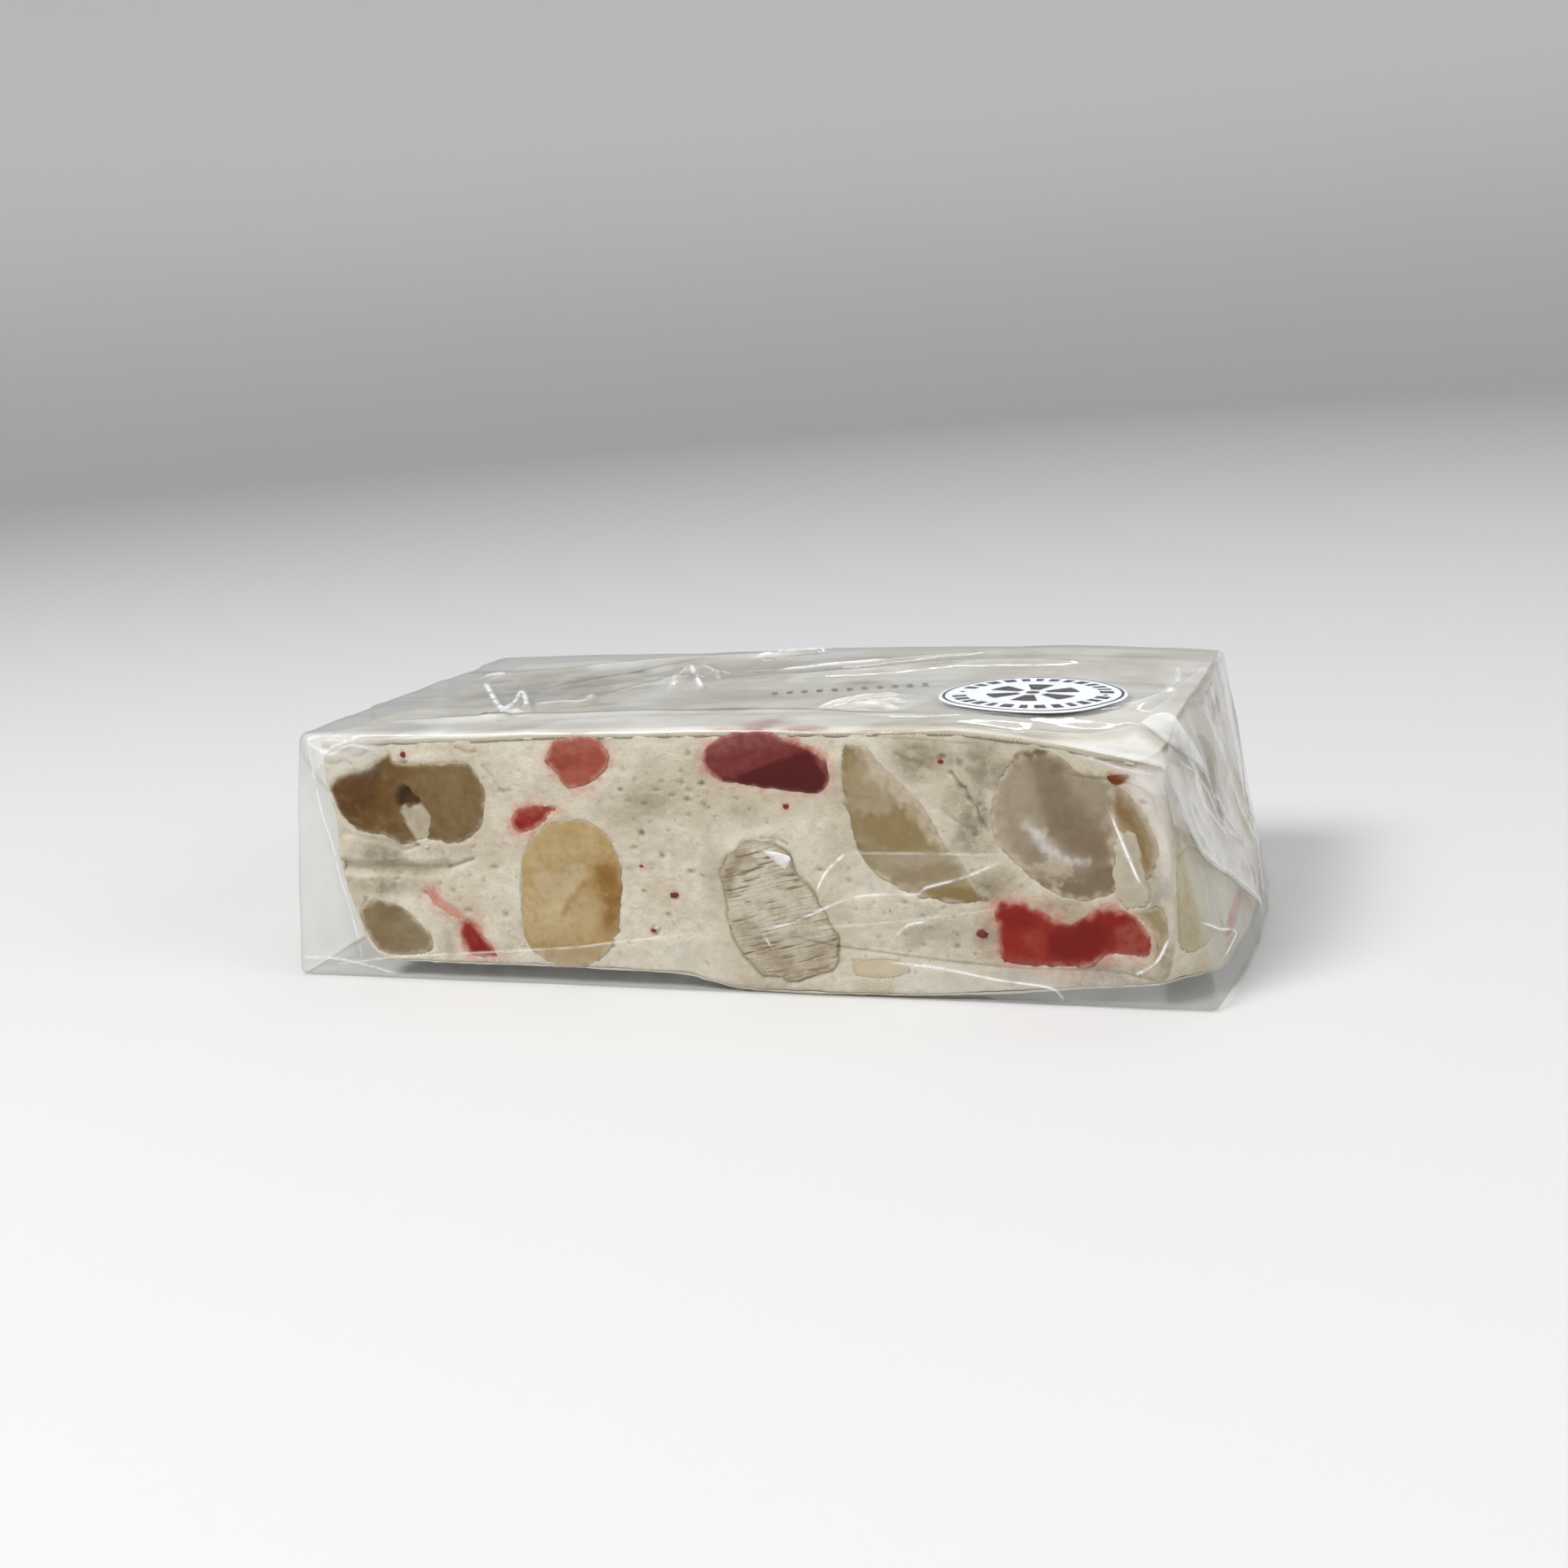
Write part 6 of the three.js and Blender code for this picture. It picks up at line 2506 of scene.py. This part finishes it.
# Darker ovals on the front, each its middle across and up, half width, half height and strength: partly
# darker nougat, partly painted shade under folds and lips.
TONE_AND_PAINTED_SHADE = (
    (-8.0, 22.4, 9.0, 3.8, 0.6), (-7.0, 18.0, 5.0, 4.0, 0.3), (-9.0, 27.0, 4.0, 2.2, 0.3),
    (-42.0, 13.9, 8.5, 1.3, 0.8), (-35.0, 16.4, 4.5, 1.6, 0.5), (-45.4, 15.8, 4.6, 3.0, 1.0),
    (-44.0, 12.0, 6.0, 2.0, 1.0), (-36.6, 4.6, 1.8, 3.2, 0.6), (-29.0, 4.0, 1.8, 3.0, 0.3),
    (29.6, 21.0, 3.8, 6.8, 1.0), (32.0, 26.8, 5.4, 3.8, 1.0), (24.6, 27.6, 5.4, 2.8, 1.0),
    (25.4, 8.4, 6.0, 4.0, 0.5), (31.0, 8.0, 2.6, 4.4, 0.8), (31.0, 13.6, 4.4, 3.0, 0.9),
    (38.0, 11.0, 6.4, 1.8, 0.8), (47.0, 28.0, 5.0, 2.2, 1.0), (34.0, 29.8, 7.0, 1.6, 0.7),
    (49.8, 14.0, 2.2, 5.0, 0.9),
    (44.0, 3.6, 9.0, 2.4, 0.9), (50.0, 6.0, 2.2, 5.4, 0.9), (33.0, 3.4, 6.0, 1.6, 0.5),
    (-1.2, 13.6, 2.0, 7.0, 0.35), (3.0, 21.6, 5.0, 2.0, 0.4), (-1.5, 27.6, 2.4, 3.0, 0.35),
    (13.8, 17.0, 2.4, 4.0, 0.35), (14.4, 24.6, 1.6, 4.0, 0.35), (-21.5, 1.4, 7.0, 1.5, 0.4),
    (6.0, 1.0, 9.0, 1.2, 0.4), (-27.6, 24.6, 3.4, 3.0, 0.3), (-23.0, 23.8, 4.0, 1.6, 0.25),
)

# Darker ovals on the wafer, each its middle, half width, half height and strength: small ones over what lies
# under it, broad ones painted shade over the back and left of the top and along its front strip.
SHADE_AND_SHOW_THROUGH = (
    (-36.0, 6.0, 22.0, 18.0, 0.8), (-10.0, 14.0, 24.0, 12.0, 0.55), (16.0, 20.0, 24.0, 8.0, 0.45),
    (-6.0, -6.0, 16.0, 8.0, 0.45), (-38.0, 6.0, 4.5, 3.0, 0.8), (-22.0, -8.0, 3.0, 2.0, 0.8),
    (-27.0, 17.0, 3.5, 5.0, 0.8), (-8.0, 12.0, 2.0, 1.6, 0.8), (-3.0, -14.0, 5.0, 3.0, 0.6),
    (9.0, 3.0, 5.5, 2.2, 0.85), (17.0, 18.0, 4.0, 3.2, 0.8), (28.0, -24.4, 12.0, 1.6, 0.4),
    (36.0, -25.6, 4.0, 1.2, 0.5), (41.0, 23.0, 4.2, 2.8, 0.5), (-44.0, -17.0, 1.2, 1.0, 0.6),
    (-44.0, -21.0, 9.0, 6.0, 0.7), (-30.0, -22.0, 10.0, 4.0, 0.45), (-18.0, -22.0, 7.0, 3.0, 0.2),
)

STAINS = (
    (4.4, -24.0, 5.4, 5.0, 1.0), (4.6, -24.6, 5.0, 4.6, 1.0), (10.6, -26.0, 4.0, 2.4, 0.8),
    (25.4, -24.0, 1.0, 1.2, 0.35), (-16.6, -26.8, 2.6, 1.6, 0.6), (-42.5, -25.5, 2.4, 1.0, 0.3),
)

SPECKS = (
    (-39.7, 28.4, 0.40), (-10.0, 15.1, 0.28), (-6.2, 11.6, 0.42), (8.3, 22.4, 0.36), (30.2, 8.0, 0.5),
    (-9.3, 7.2, 0.24), (26.5, 27.6, 0.26), (-37.4, 9.9, 0.20), (19.8, 10.4, 0.14),
)

# Pits of the front side: across, up, radius, and the darkness of their painted shade.
PITS = (
    (-9.7, 19.1, 0.50, 0.85), (-7.3, 16.4, 0.42, 0.75), (-7.1, 9.1, 0.42, 0.5), (28.9, 24.7, 0.5, 0.7),
    (-11.7, 24.2, 0.42, 0.6), (29.6, 23.4, 0.45, 0.6), (-9.1, 6.8, 0.4, 0.45), (-10.1, 12.0, 0.4, 0.6),
    (-1.7, 25.0, 0.45, 0.65), (23.5, 6.5, 0.35, 0.5), (-7.3, 24.2, 0.5, 0.6), (29.9, 19.3, 0.4, 0.5),
    (-37.8, 11.5, 0.35, 0.4), (29.2, 5.6, 0.3, 0.5), (24.3, 27.0, 0.4, 0.5), (6.0, 20.5, 0.35, 0.45),
    (-1.6, 22.6, 0.4, 0.5), (23.5, 9.9, 0.3, 0.45), (28.7, 27.0, 0.4, 0.4), (27.8, 20.9, 0.35, 0.4),
    (-2.4, 14.0, 0.35, 0.4), (-2.8, 3.3, 0.3, 0.4), (-46.0, 13.6, 0.4, 0.5), (-32.1, 18.3, 0.35, 0.4),
    (-9.0, 22.5, 0.4, 0.5), (-3.5, 21.3, 0.35, 0.45), (15.2, 13.8, 0.4, 0.5), (15.9, 10.5, 0.3, 0.3),
    (18.2, 7.3, 0.3, 0.35), (-3.9, 26.4, 0.4, 0.45), (24.3, 8.5, 0.3, 0.35), (-10.8, 22.9, 0.35, 0.4),
    (-5.4, 23.6, 0.4, 0.45), (-12.5, 21.0, 0.3, 0.35), (-36.0, 16.2, 0.3, 0.35), (-24.6, 26.4, 0.3, 0.35),
    (-11.2, 26.4, 0.26, 0.4), (-9.8, 25.4, 0.3, 0.45), (-8.3, 26.1, 0.26, 0.35), (-6.4, 25.3, 0.28, 0.45),
    (-4.6, 25.2, 0.26, 0.4), (-2.9, 24.2, 0.3, 0.5), (-1.0, 23.9, 0.26, 0.4), (0.8, 24.3, 0.28, 0.45),
    (-10.4, 20.6, 0.26, 0.4), (-8.4, 20.4, 0.3, 0.45), (-6.2, 19.4, 0.26, 0.35), (-4.4, 20.0, 0.28, 0.4),
    (-12.9, 23.2, 0.26, 0.35), (2.4, 23.2, 0.26, 0.4), (3.9, 21.9, 0.28, 0.4), (-5.8, 17.8, 0.26, 0.4),
)

# Creases for each face: points, height, width, white and line; the whitening is partly a painted highlight,
# and a negative white is painted shade.
CREASES = {
    Side.FRONT: (
        (((15.8, 17.4), (24.4, 17.5), (32.8, 17.5)), 0.30, 2.2, 0.3),
        (((32.8, 16.6), (28.8, 14.9), (24.4, 13.6), (23.1, 12.8), (16.1, 12.3), (8.9, 9.3), (4.7, 8.1)),
         0.40, 2.4, 0.75),
        (((15.4, 17.4), (13.0, 15.2), (11.6, 12.8)), 0.22, 1.6, 0.9),
        (((4.7, 8.1), (5.9, 5.5)), 0.2, 1.2, 0.5),
        (((20.5, 7.8), (22.2, 9.2), (24.1, 9.6)), 0.25, 1.2, 0.9),
        (((19.3, 4.7), (25.2, 4.2), (32.1, 3.0), (37.7, 2.3), (39.0, 0.9)), 0.35, 2.0, 0.9),
        (((45.1, 21.9), (46.5, 18.2), (47.9, 14.5)), 0.35, 1.8, 1.0),
        (((46.6, 3.9), (49.3, 5.7), (50.7, 8.3)), 0.3, 1.6, 0.9),
        (((-57.0, 1.0), (-45.4, 2.8), (-33.4, 3.9), (-20.3, 5.0), (-13.5, 6.0), (-1.3, 7.7)), 0.30, 2.4,
         0.4),
        (((8.0, 7.5), (15.0, 6.3), (32.2, 4.7), (44.7, 4.5), (50.5, 3.3)), 0.25, 1.8, -0.5),
        (((10.0, 8.4), (20.0, 9.4), (33.0, 11.4)), 0.2, 1.6, 0.25),
        (((-52.3, 31.0), (-51.6, 25.6), (-51.2, 21.7), (-50.3, 17.8), (-49.8, 13.3), (-49.0, 8.8),
         (-48.5, 3.0)), 0.35, 1.6, 0.45),
        (((10.0, 30.7), (20.0, 30.6), (32.0, 29.6)), 0.25, 1.0, -0.3),
        (((-52.0, 31.2), (-38.0, 30.9), (-20.0, 30.9), (-4.0, 31.0)), 0.12, 1.0, 0.14, 0.4),
        (((40.5, 26.5), (48.4, 25.0), (50.0, 22.0)), 0.3, 1.6, -0.5),
        (((42.0, 28.5), (46.0, 27.1), (49.6, 26.3)), 0.3, 1.2, 0.4),
        (((-57.2, 2.6), (-50.5, 2.4), (-44.0, 0.8)), 0.3, 1.4, 0.6),
        (((-52.6, 30.4), (-49.4, 28.6), (-46.4, 29.8), (-43.6, 29.2)), 0.3, 1.2, 0.6),
        (((-51.2, 27.0), (-49.0, 29.4), (-45.0, 30.6)), 0.25, 1.0, 0.5),
    ),
    Side.TOP: (
        (((-44.0, -20.0), (-30.8, -19.4), (-17.3, -18.0), (-3.9, -17.4), (9.5, -18.0), (18.8, -20.8),
         (28.2, -21.7)), 0.3, 1.6, -0.6, 0.5),
        (((-45.3, 6.1), (-39.3, -3.8), (-35.0, -10.8), (-31.3, -16.6)), 0.4, 1.6, 1.0, 0.45),
        (((-31.3, -17.0), (-32.2, -12.5), (-34.8, -5.1), (-36.0, -1.6)), 0.4, 1.4, 1.0, 0.4),
        (((-36.0, -1.6), (-33.2, -6.5), (-30.1, -12.6), (-29.6, -15.0)), 0.3, 1.4, 1.0, 0.4),
        (((-29.6, -15.2), (-30.4, -16.4), (-31.6, -17.8)), 0.3, 1.4, 1.0, 0.7),
        (((-33.0, -19.3), (-30.8, -19.5), (-28.4, -16.2)), 0.3, 1.4, 1.0, 0.5),
        (((-29.7, -12.0), (-27.7, -11.0), (-25.7, -10.0), (-23.8, -10.2), (-23.7, -7.7), (-25.1, -3.7)),
         0.35, 1.8, 0.55, 0.6),
        (((-48.0, 11.2), (-46.9, 12.6), (-45.4, 12.8)), 0.3, 1.6, 0.9, 0.8),
        (((-12.0, 21.9), (-8.4, 24.0), (-6.2, 25.1), (-2.6, 26.4)), 0.4, 2.0, 1.0, 0.9),
        (((-4.6, 10.8), (-1.1, 11.6), (2.0, 13.0), (5.4, 14.0), (9.2, 15.6)), 0.4, 2.0, 1.0, 0.8),
        (((8.6, 15.3), (12.8, 17.8), (17.1, 20.0), (21.0, 22.0)), 0.3, 2.0, 0.35, 0.6),
        (((9.5, -16.4), (10.5, -12.4), (12.3, -9.6), (14.2, -8.5), (16.8, -8.0)), 0.35, 1.6, 0.85, 0.5),
        (((10.6, -16.4), (12.7, -14.3), (16.1, -15.0), (19.0, -17.4)), 0.35, 1.6, 0.95, 0.7),
        (((18.8, -13.4), (16.9, -12.2), (15.0, -13.3), (13.0, -11.8)), 0.3, 1.6, 0.85, 0.5),
        (((-18.2, 14.4), (-16.5, 10.6), (-14.0, 5.2), (-10.8, -1.6)), 0.4, 1.6, 1.0, 0.45),
        (((-15.4, -1.0), (-17.4, 8.0), (-18.6, 14.7)), 0.4, 2.0, 0.35, 0.4),
        (((-17.0, 15.0), (-14.0, 11.4), (-10.4, 4.0)), 0.4, 2.0, 0.45, 0.4),
        (((-33.0, 2.0), (-26.6, 8.8), (-23.3, 13.5), (-19.6, 21.0)), 0.35, 2.4, -0.5, 0.7),
        (((-22.0, -3.4), (-19.2, 2.0), (-15.0, 5.3), (-11.3, 8.7), (-4.7, 11.1)), 0.35, 2.2, 0.3, 0.5),
        (((-36.0, 16.0), (-22.0, 22.0), (-4.0, 24.5)), 0.4, 3.0, 0.25, 0.8),
        (((-8.0, 4.0), (6.0, 8.5), (20.0, 14.0), (36.0, 14.0)), 0.4, 3.0, 0.2, 0.8),
        (((44.0, -14.0), (46.4, -9.0), (48.2, 2.0), (47.0, 14.0)), 0.35, 2.4, 0.3, 0.5),
        (((47.3, -19.3), (48.7, -10.1), (48.9, 0.0), (49.8, 9.5), (50.6, 18.7)), 0.3, 1.8, 0.25),
        (((36.0, -26.0), (42.0, -24.6), (47.2, -19.6)), 0.3, 1.8, 0.3),
    ),
    Side.RIGHT: (
        (((-26.5, 21.0), (-23.0, 16.2), (-14.6, 11.5), (-5.9, 6.7), (2.3, 1.7)), 0.7, 2.0, -0.7),
        (((-26.0, 21.6), (-22.5, 16.8), (-14.1, 12.1), (-5.4, 7.3), (2.6, 2.4)), 0.5, 1.0, 0.6),
        (((-24.9, 27.2), (-15.2, 22.4), (-10.5, 16.4), (-1.9, 11.3), (3.0, 4.0)), 0.6, 2.4, 0.6),
        (((26.0, 26.0), (16.0, 16.2), (8.0, 7.5), (3.4, 1.9)), 0.6, 2.2, 0.5),
        (((-13.0, 23.0), (-9.0, 17.0), (-3.0, 12.0)), 0.4, 1.8, -0.7),
        (((-27.0, 10.0), (-22.0, 7.7), (-16.0, 5.4), (-22.0, 4.4)), 0.4, 1.6, 0.9),
        (((-6.0, 29.0), (2.0, 18.0), (10.0, 8.0)), 0.4, 2.6, 0.4),
        (((-24.6, 28.0), (-20.4, 21.0), (-13.6, 15.0)), 0.3, 1.2, -0.45, 0.3),
        (((-21.0, 28.6), (-17.0, 21.6), (-9.0, 14.0)), 0.3, 1.4, 0.5, 0.25),
        (((-22.6, 26.0), (-21.0, 19.0), (-16.0, 14.4)), 0.3, 1.0, 0.35, 0.2),
        (((-17.0, 27.6), (-11.0, 21.0), (-6.6, 15.6)), 0.3, 1.2, -0.4, 0.3),
        (((-26.4, 24.4), (-23.6, 20.6), (-20.6, 15.8)), 0.3, 0.9, 0.45, 0.2),
        (((4.0, 28.0), (9.0, 17.0), (12.0, 10.0)), 0.4, 2.0, -0.4),
    ),
    Side.LEFT: (
        (((-27.0, 29.5), (-14.0, 16.0), (-1.0, 2.0)), 0.6, 2.0, 0.5),
        (((27.0, 29.5), (13.0, 15.0), (0.5, 2.0)), 0.6, 2.0, 0.5),
        (((-20.0, 30.0), (-6.0, 22.0), (12.0, 24.0), (22.0, 29.0)), 0.4, 2.4, 0.3),
        (((-14.0, 28.0), (-8.0, 16.0), (-3.0, 7.0)), 0.4, 2.0, -0.4),
    ),
    Side.BACK: (
        (((-54.0, 26.0), (-34.0, 22.5), (-12.0, 21.5), (10.0, 24.0)), 0.35, 2.4, 0.5),
        (((-20.0, 6.0), (2.0, 9.5), (26.0, 8.0), (50.0, 3.5)), 0.35, 2.4, 0.5),
        (((14.0, 26.0), (24.0, 17.0), (28.0, 9.0)), 0.3, 2.0, 0.5),
        (((-50.0, 28.0), (-50.5, 15.0), (-52.0, 4.0)), 0.35, 1.8, 0.5),
        (((-56.0, 4.0), (-20.0, 3.0), (20.0, 4.4), (50.0, 6.0)), 0.25, 1.8, -0.4),
    ),
}

# Milky patches for each face: strength, outline and softness; partly second layers and crinkles, partly
# painted reflection and glare, such as the lit front strip of the top.
VEILS = {
    Side.FRONT: (
        (0.05, ((14.0, 17.4), (33.0, 17.4), (28.8, 14.9), (23.1, 12.8), (12.0, 12.0)), 1.4),
        (0.26, ((46.8, 26.2), (50.8, 26.0), (51.6, 14.0), (50.0, 12.4), (50.0, 18.0), (48.8, 22.0),
         (47.4, 24.2)), 1.6),
        (0.36, ((41.6, 28.4), (46.0, 27.2), (51.0, 26.8), (51.0, 23.8), (48.6, 24.2), (47.0, 26.4)), 1.4),
        (0.30, ((35.8, 21.4), (36.8, 20.8), (38.8, 18.6), (40.6, 17.2), (42.6, 16.6), (40.4, 16.2),
         (38.0, 17.4), (36.6, 19.2)), 1.2),
        (0.2, ((-50.4, 25.8), (-50.0, 30.6), (-46.0, 30.6), (-42.4, 29.0), (-44.0, 27.0), (-48.0, 26.6)),
         2.4),
        (0.14, ((31.4, 4.8), (44.7, 4.6), (50.5, 3.4), (50.0, 0.6), (20.0, 0.6), (19.0, 4.6)), 0.5),
        (0.08, ((-56.6, 1.2), (-20.5, 5.0), (-1.3, 7.6), (2.0, 1.0), (-50.0, 0.3)), 0.5),
        (0.30, ((-52.4, 31.0), (-51.4, 27.4), (-48.0, 28.0), (-45.0, 28.2), (-42.0, 30.0)), 2.0),
        (0.12, ((-56.9, 1.0), (-54.0, 30.0), (-51.9, 27.0), (-50.5, 15.0), (-49.5, 3.0)), 1.0),
    ),
    Side.TOP: (
        (0.12, ((-52.0, -28.4), (-44.0, -20.0), (-30.8, -19.4), (-17.3, -18.0), (-3.9, -17.4),
         (9.5, -18.0), (18.8, -20.8), (25.0, -22.6), (16.0, -26.4), (2.0, -28.4)), 0.7),
        (0.20, ((9.0, -17.6), (10.4, -10.0), (17.6, -7.4), (22.0, -12.0), (19.6, -18.4)), 2.5),
        (0.18, ((38.0, -22.0), (42.0, -16.0), (46.0, -4.0), (46.0, 16.0), (51.0, 20.0), (51.0, -18.0),
         (46.0, -22.0)), 4.0),
        (0.40, ((38.0, -28.0), (44.0, -25.0), (47.0, -20.5), (51.0, -25.5), (52.0, -28.0)), 2.0),
    ),
    Side.RIGHT: (
        (0.26, ((-28.0, 29.5), (-28.0, 21.0), (-14.6, 11.6), (2.3, 1.7), (18.0, 14.5), (27.8, 24.0),
         (27.8, 30.5)), 0.8),
        (0.42, ((-27.5, 27.0), (-24.9, 27.0), (-15.2, 22.4), (-10.5, 16.4), (-1.9, 11.3), (2.3, 2.0),
         (-5.9, 6.9), (-14.6, 11.7), (-23.0, 16.4)), 1.2),
    ),
    Side.LEFT: (
        (0.18, ((-27.5, 30.0), (-14.0, 16.0), (-1.0, 2.0), (13.0, 15.0), (27.5, 30.0)), 0.8),
    ),
    Side.BACK: (
        (0.12, ((-40.0, 25.0), (-12.0, 22.0), (10.0, 24.0), (4.0, 14.0), (-26.0, 12.0)), 3.0),
    ),
}

# Film folds: the milky pointed flap at the top's front right corner, and a small milky triangle on the front
# that is a painted glint.
FOLDS = (
    FilmFold(((47.2, -19.4, 30.2), (50.2, -23.0, 28.9), (52.0, -21.6, 27.0), (53.2, -13.4, 23.6)),
             ((47.2, -19.4, 30.2), (48.6, -16.6, 30.6), (50.4, -16.8, 30.4), (52.0, -18.2, 28.6),
              (52.9, -15.4, 25.8), (53.2, -13.4, 23.6)), (0.2, -0.2, 0.3), 0.45, 0.09),
    FilmFold(((5.6, -28.3, 17.6), (6.6, -28.4, 16.6), (8.2, -28.4, 15.4)),
             ((5.6, -28.3, 17.6), (7.2, -28.4, 17.4), (8.9, -28.4, 16.8), (8.2, -28.4, 15.4)),
             (0.0, -0.3, 0.0), 0.75, 0.0),
)

LAMPS = (
    SoftLight("lamp_key", (-0.34, -0.52, 0.70), (0.34, 0.34), 7.4),
    SoftLight("lamp_overhead", (0.10, 0.05, 0.85), (0.9, 0.7), 2.0),
    SoftLight("lamp_right", (0.72, -0.20, 0.42), (0.4, 0.3), 1.8),
    SoftLight("lamp_rear_strip", (-0.17, 1.0, 0.42), (0.28, 0.03), 0.12),
    SoftLight("lamp_glint", (0.35, -0.65, 0.75), (0.06, 0.30), 0.8),
)


LABEL_RADIUS = 10.9
CUT_FACTS = ("across", "rim", "cream", "deep", "pale")
NOUGAT_FACTS = ("pore", "stain", "shade")
CRUMB_COUNTS = {Side.FRONT: 26, Side.BACK: 16, Side.LEFT: 10, Side.RIGHT: 10}
CRUMB_REACH = (24.0, 48.0)
CRUMB_BAND = (4, 28)
CRUMB_RADII = (0.12, 0.3)
CRUMB_GAP = 0.6


def listed(kind: type, table: dict[Side, tuple]) -> tuple:
    """Turn a table of rows for each side into a tuple of that kind."""
    return tuple(kind(side, *row) for side, rows in table.items() for row in rows)


def crumb_places(pieces: list[Inclusion]) -> tuple[tuple[Side, float, float, float], ...]:
    """Choose places for crumbs, clear of the nuts and the fruit.

    Args:
        pieces: the nuts and the fruit.

    Returns:
        Each crumb's side, its place across and up it, and its radius.
    """
    random = np.random.default_rng(82)
    places = []
    for side, count in CRUMB_COUNTS.items():
        reach = CRUMB_REACH[side.axis]
        spots = np.column_stack([random.uniform(-reach, reach, count), random.uniform(*CRUMB_BAND, count)])
        loops = [piece.loop() for piece in pieces if piece.side is side]
        free = np.all([depth_inside(loop, spots, 3.0) < -CRUMB_GAP for loop in loops], axis=0)
        places += [(side, float(x), float(z), random.uniform(*CRUMB_RADII)) for x, z in spots[free]]
    return tuple(places)


def build_bar(wrap: WrapForm) -> None:
    """Make the block, its wafer sheets, and the nuts and fruit set in it.

    Args:
        wrap: the form of the film round it.
    """
    form = BlockForm(wrap)
    pieces = front_kernels() + front_fruit() + other_side_pieces()
    nougat = NougatFinish().material()
    block = NougatBlock(form, pieces, listed(Scar, SCARS), TONE_AND_PAINTED_SHADE, SPECKS, PITS)
    dress(block.build().make("nougat_block"), nougat)
    wafer = WaferFinish().material()
    upper = WaferSheet(form, True, 0.42, SHADE_AND_SHOW_THROUGH, STAINS)
    lower = WaferSheet(form, False, 0.8, SHADE_AND_SHOW_THROUGH, (), -0.12)
    dress(upper.build().make("wafer_upper"), wafer)
    dress(lower.build().make("wafer_lower"), wafer)
    finishes: dict[str, bpy.types.Material] = {}
    for piece in pieces:
        if piece.finish.name not in finishes:
            finishes[piece.finish.name] = piece.finish.material()
        dress(piece.build(form).make(piece.name), finishes[piece.finish.name])
    speck_places = tuple((Side.FRONT, x, z, radius) for x, z, radius in SPECKS)
    specks = Scatter(speck_places, 81, CUT_FACTS, squash=0.4, lift=0.05)
    dress(specks.build(form).make("fruit_specks"), finishes["fruit_crimson"])
    crumbs = Scatter(crumb_places(pieces), 83, NOUGAT_FACTS)
    dress(crumbs.build(form).make("nougat_crumbs"), nougat)


def build_wrap(wrap: WrapForm) -> None:
    """Make the film with its folded flaps, the label and the print.

    Args:
        wrap: the film's form.
    """
    clear = FilmFinish().material()
    skin = FilmWrap(wrap, listed(Crease, CREASES), listed(Veil, VEILS)).build().make("clear_film")
    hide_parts("film_wrap")
    dress(skin, clear)
    dress(join([fold.build() for fold in FOLDS]).make("film_folds"), clear)
    low, high = (np.array(corner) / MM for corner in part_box("round_label"))
    middle = (low + high) / 2
    label = RoundLabel(wrap, (float(middle[0]), float(middle[1])), LABEL_RADIUS)
    paper = label.build().make("round_paper_label")
    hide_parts("round_label")
    dress(paper, PaperFinish().material())
    dress(label.print_marks().make("label_print"), InkFinish("label_ink", (52, 48, 44)).material())
    dashes = FilmPrint(wrap, (-0.2, -3.9), (17.7, 1.2)).build().make("film_print")
    dress(dashes, InkFinish("film_ink", (92, 84, 80), 0.5).material())


def main() -> None:
    """Build the bar, its wrap and the studio."""
    logging.basicConfig(level=logging.INFO, format="%(message)s", stream=sys.stdout)
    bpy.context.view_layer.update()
    wrap = WrapForm.from_frame()
    build_bar(wrap)
    build_wrap(wrap)
    Studio(lamps=LAMPS).build()


if __name__ == "__main__":
    main()
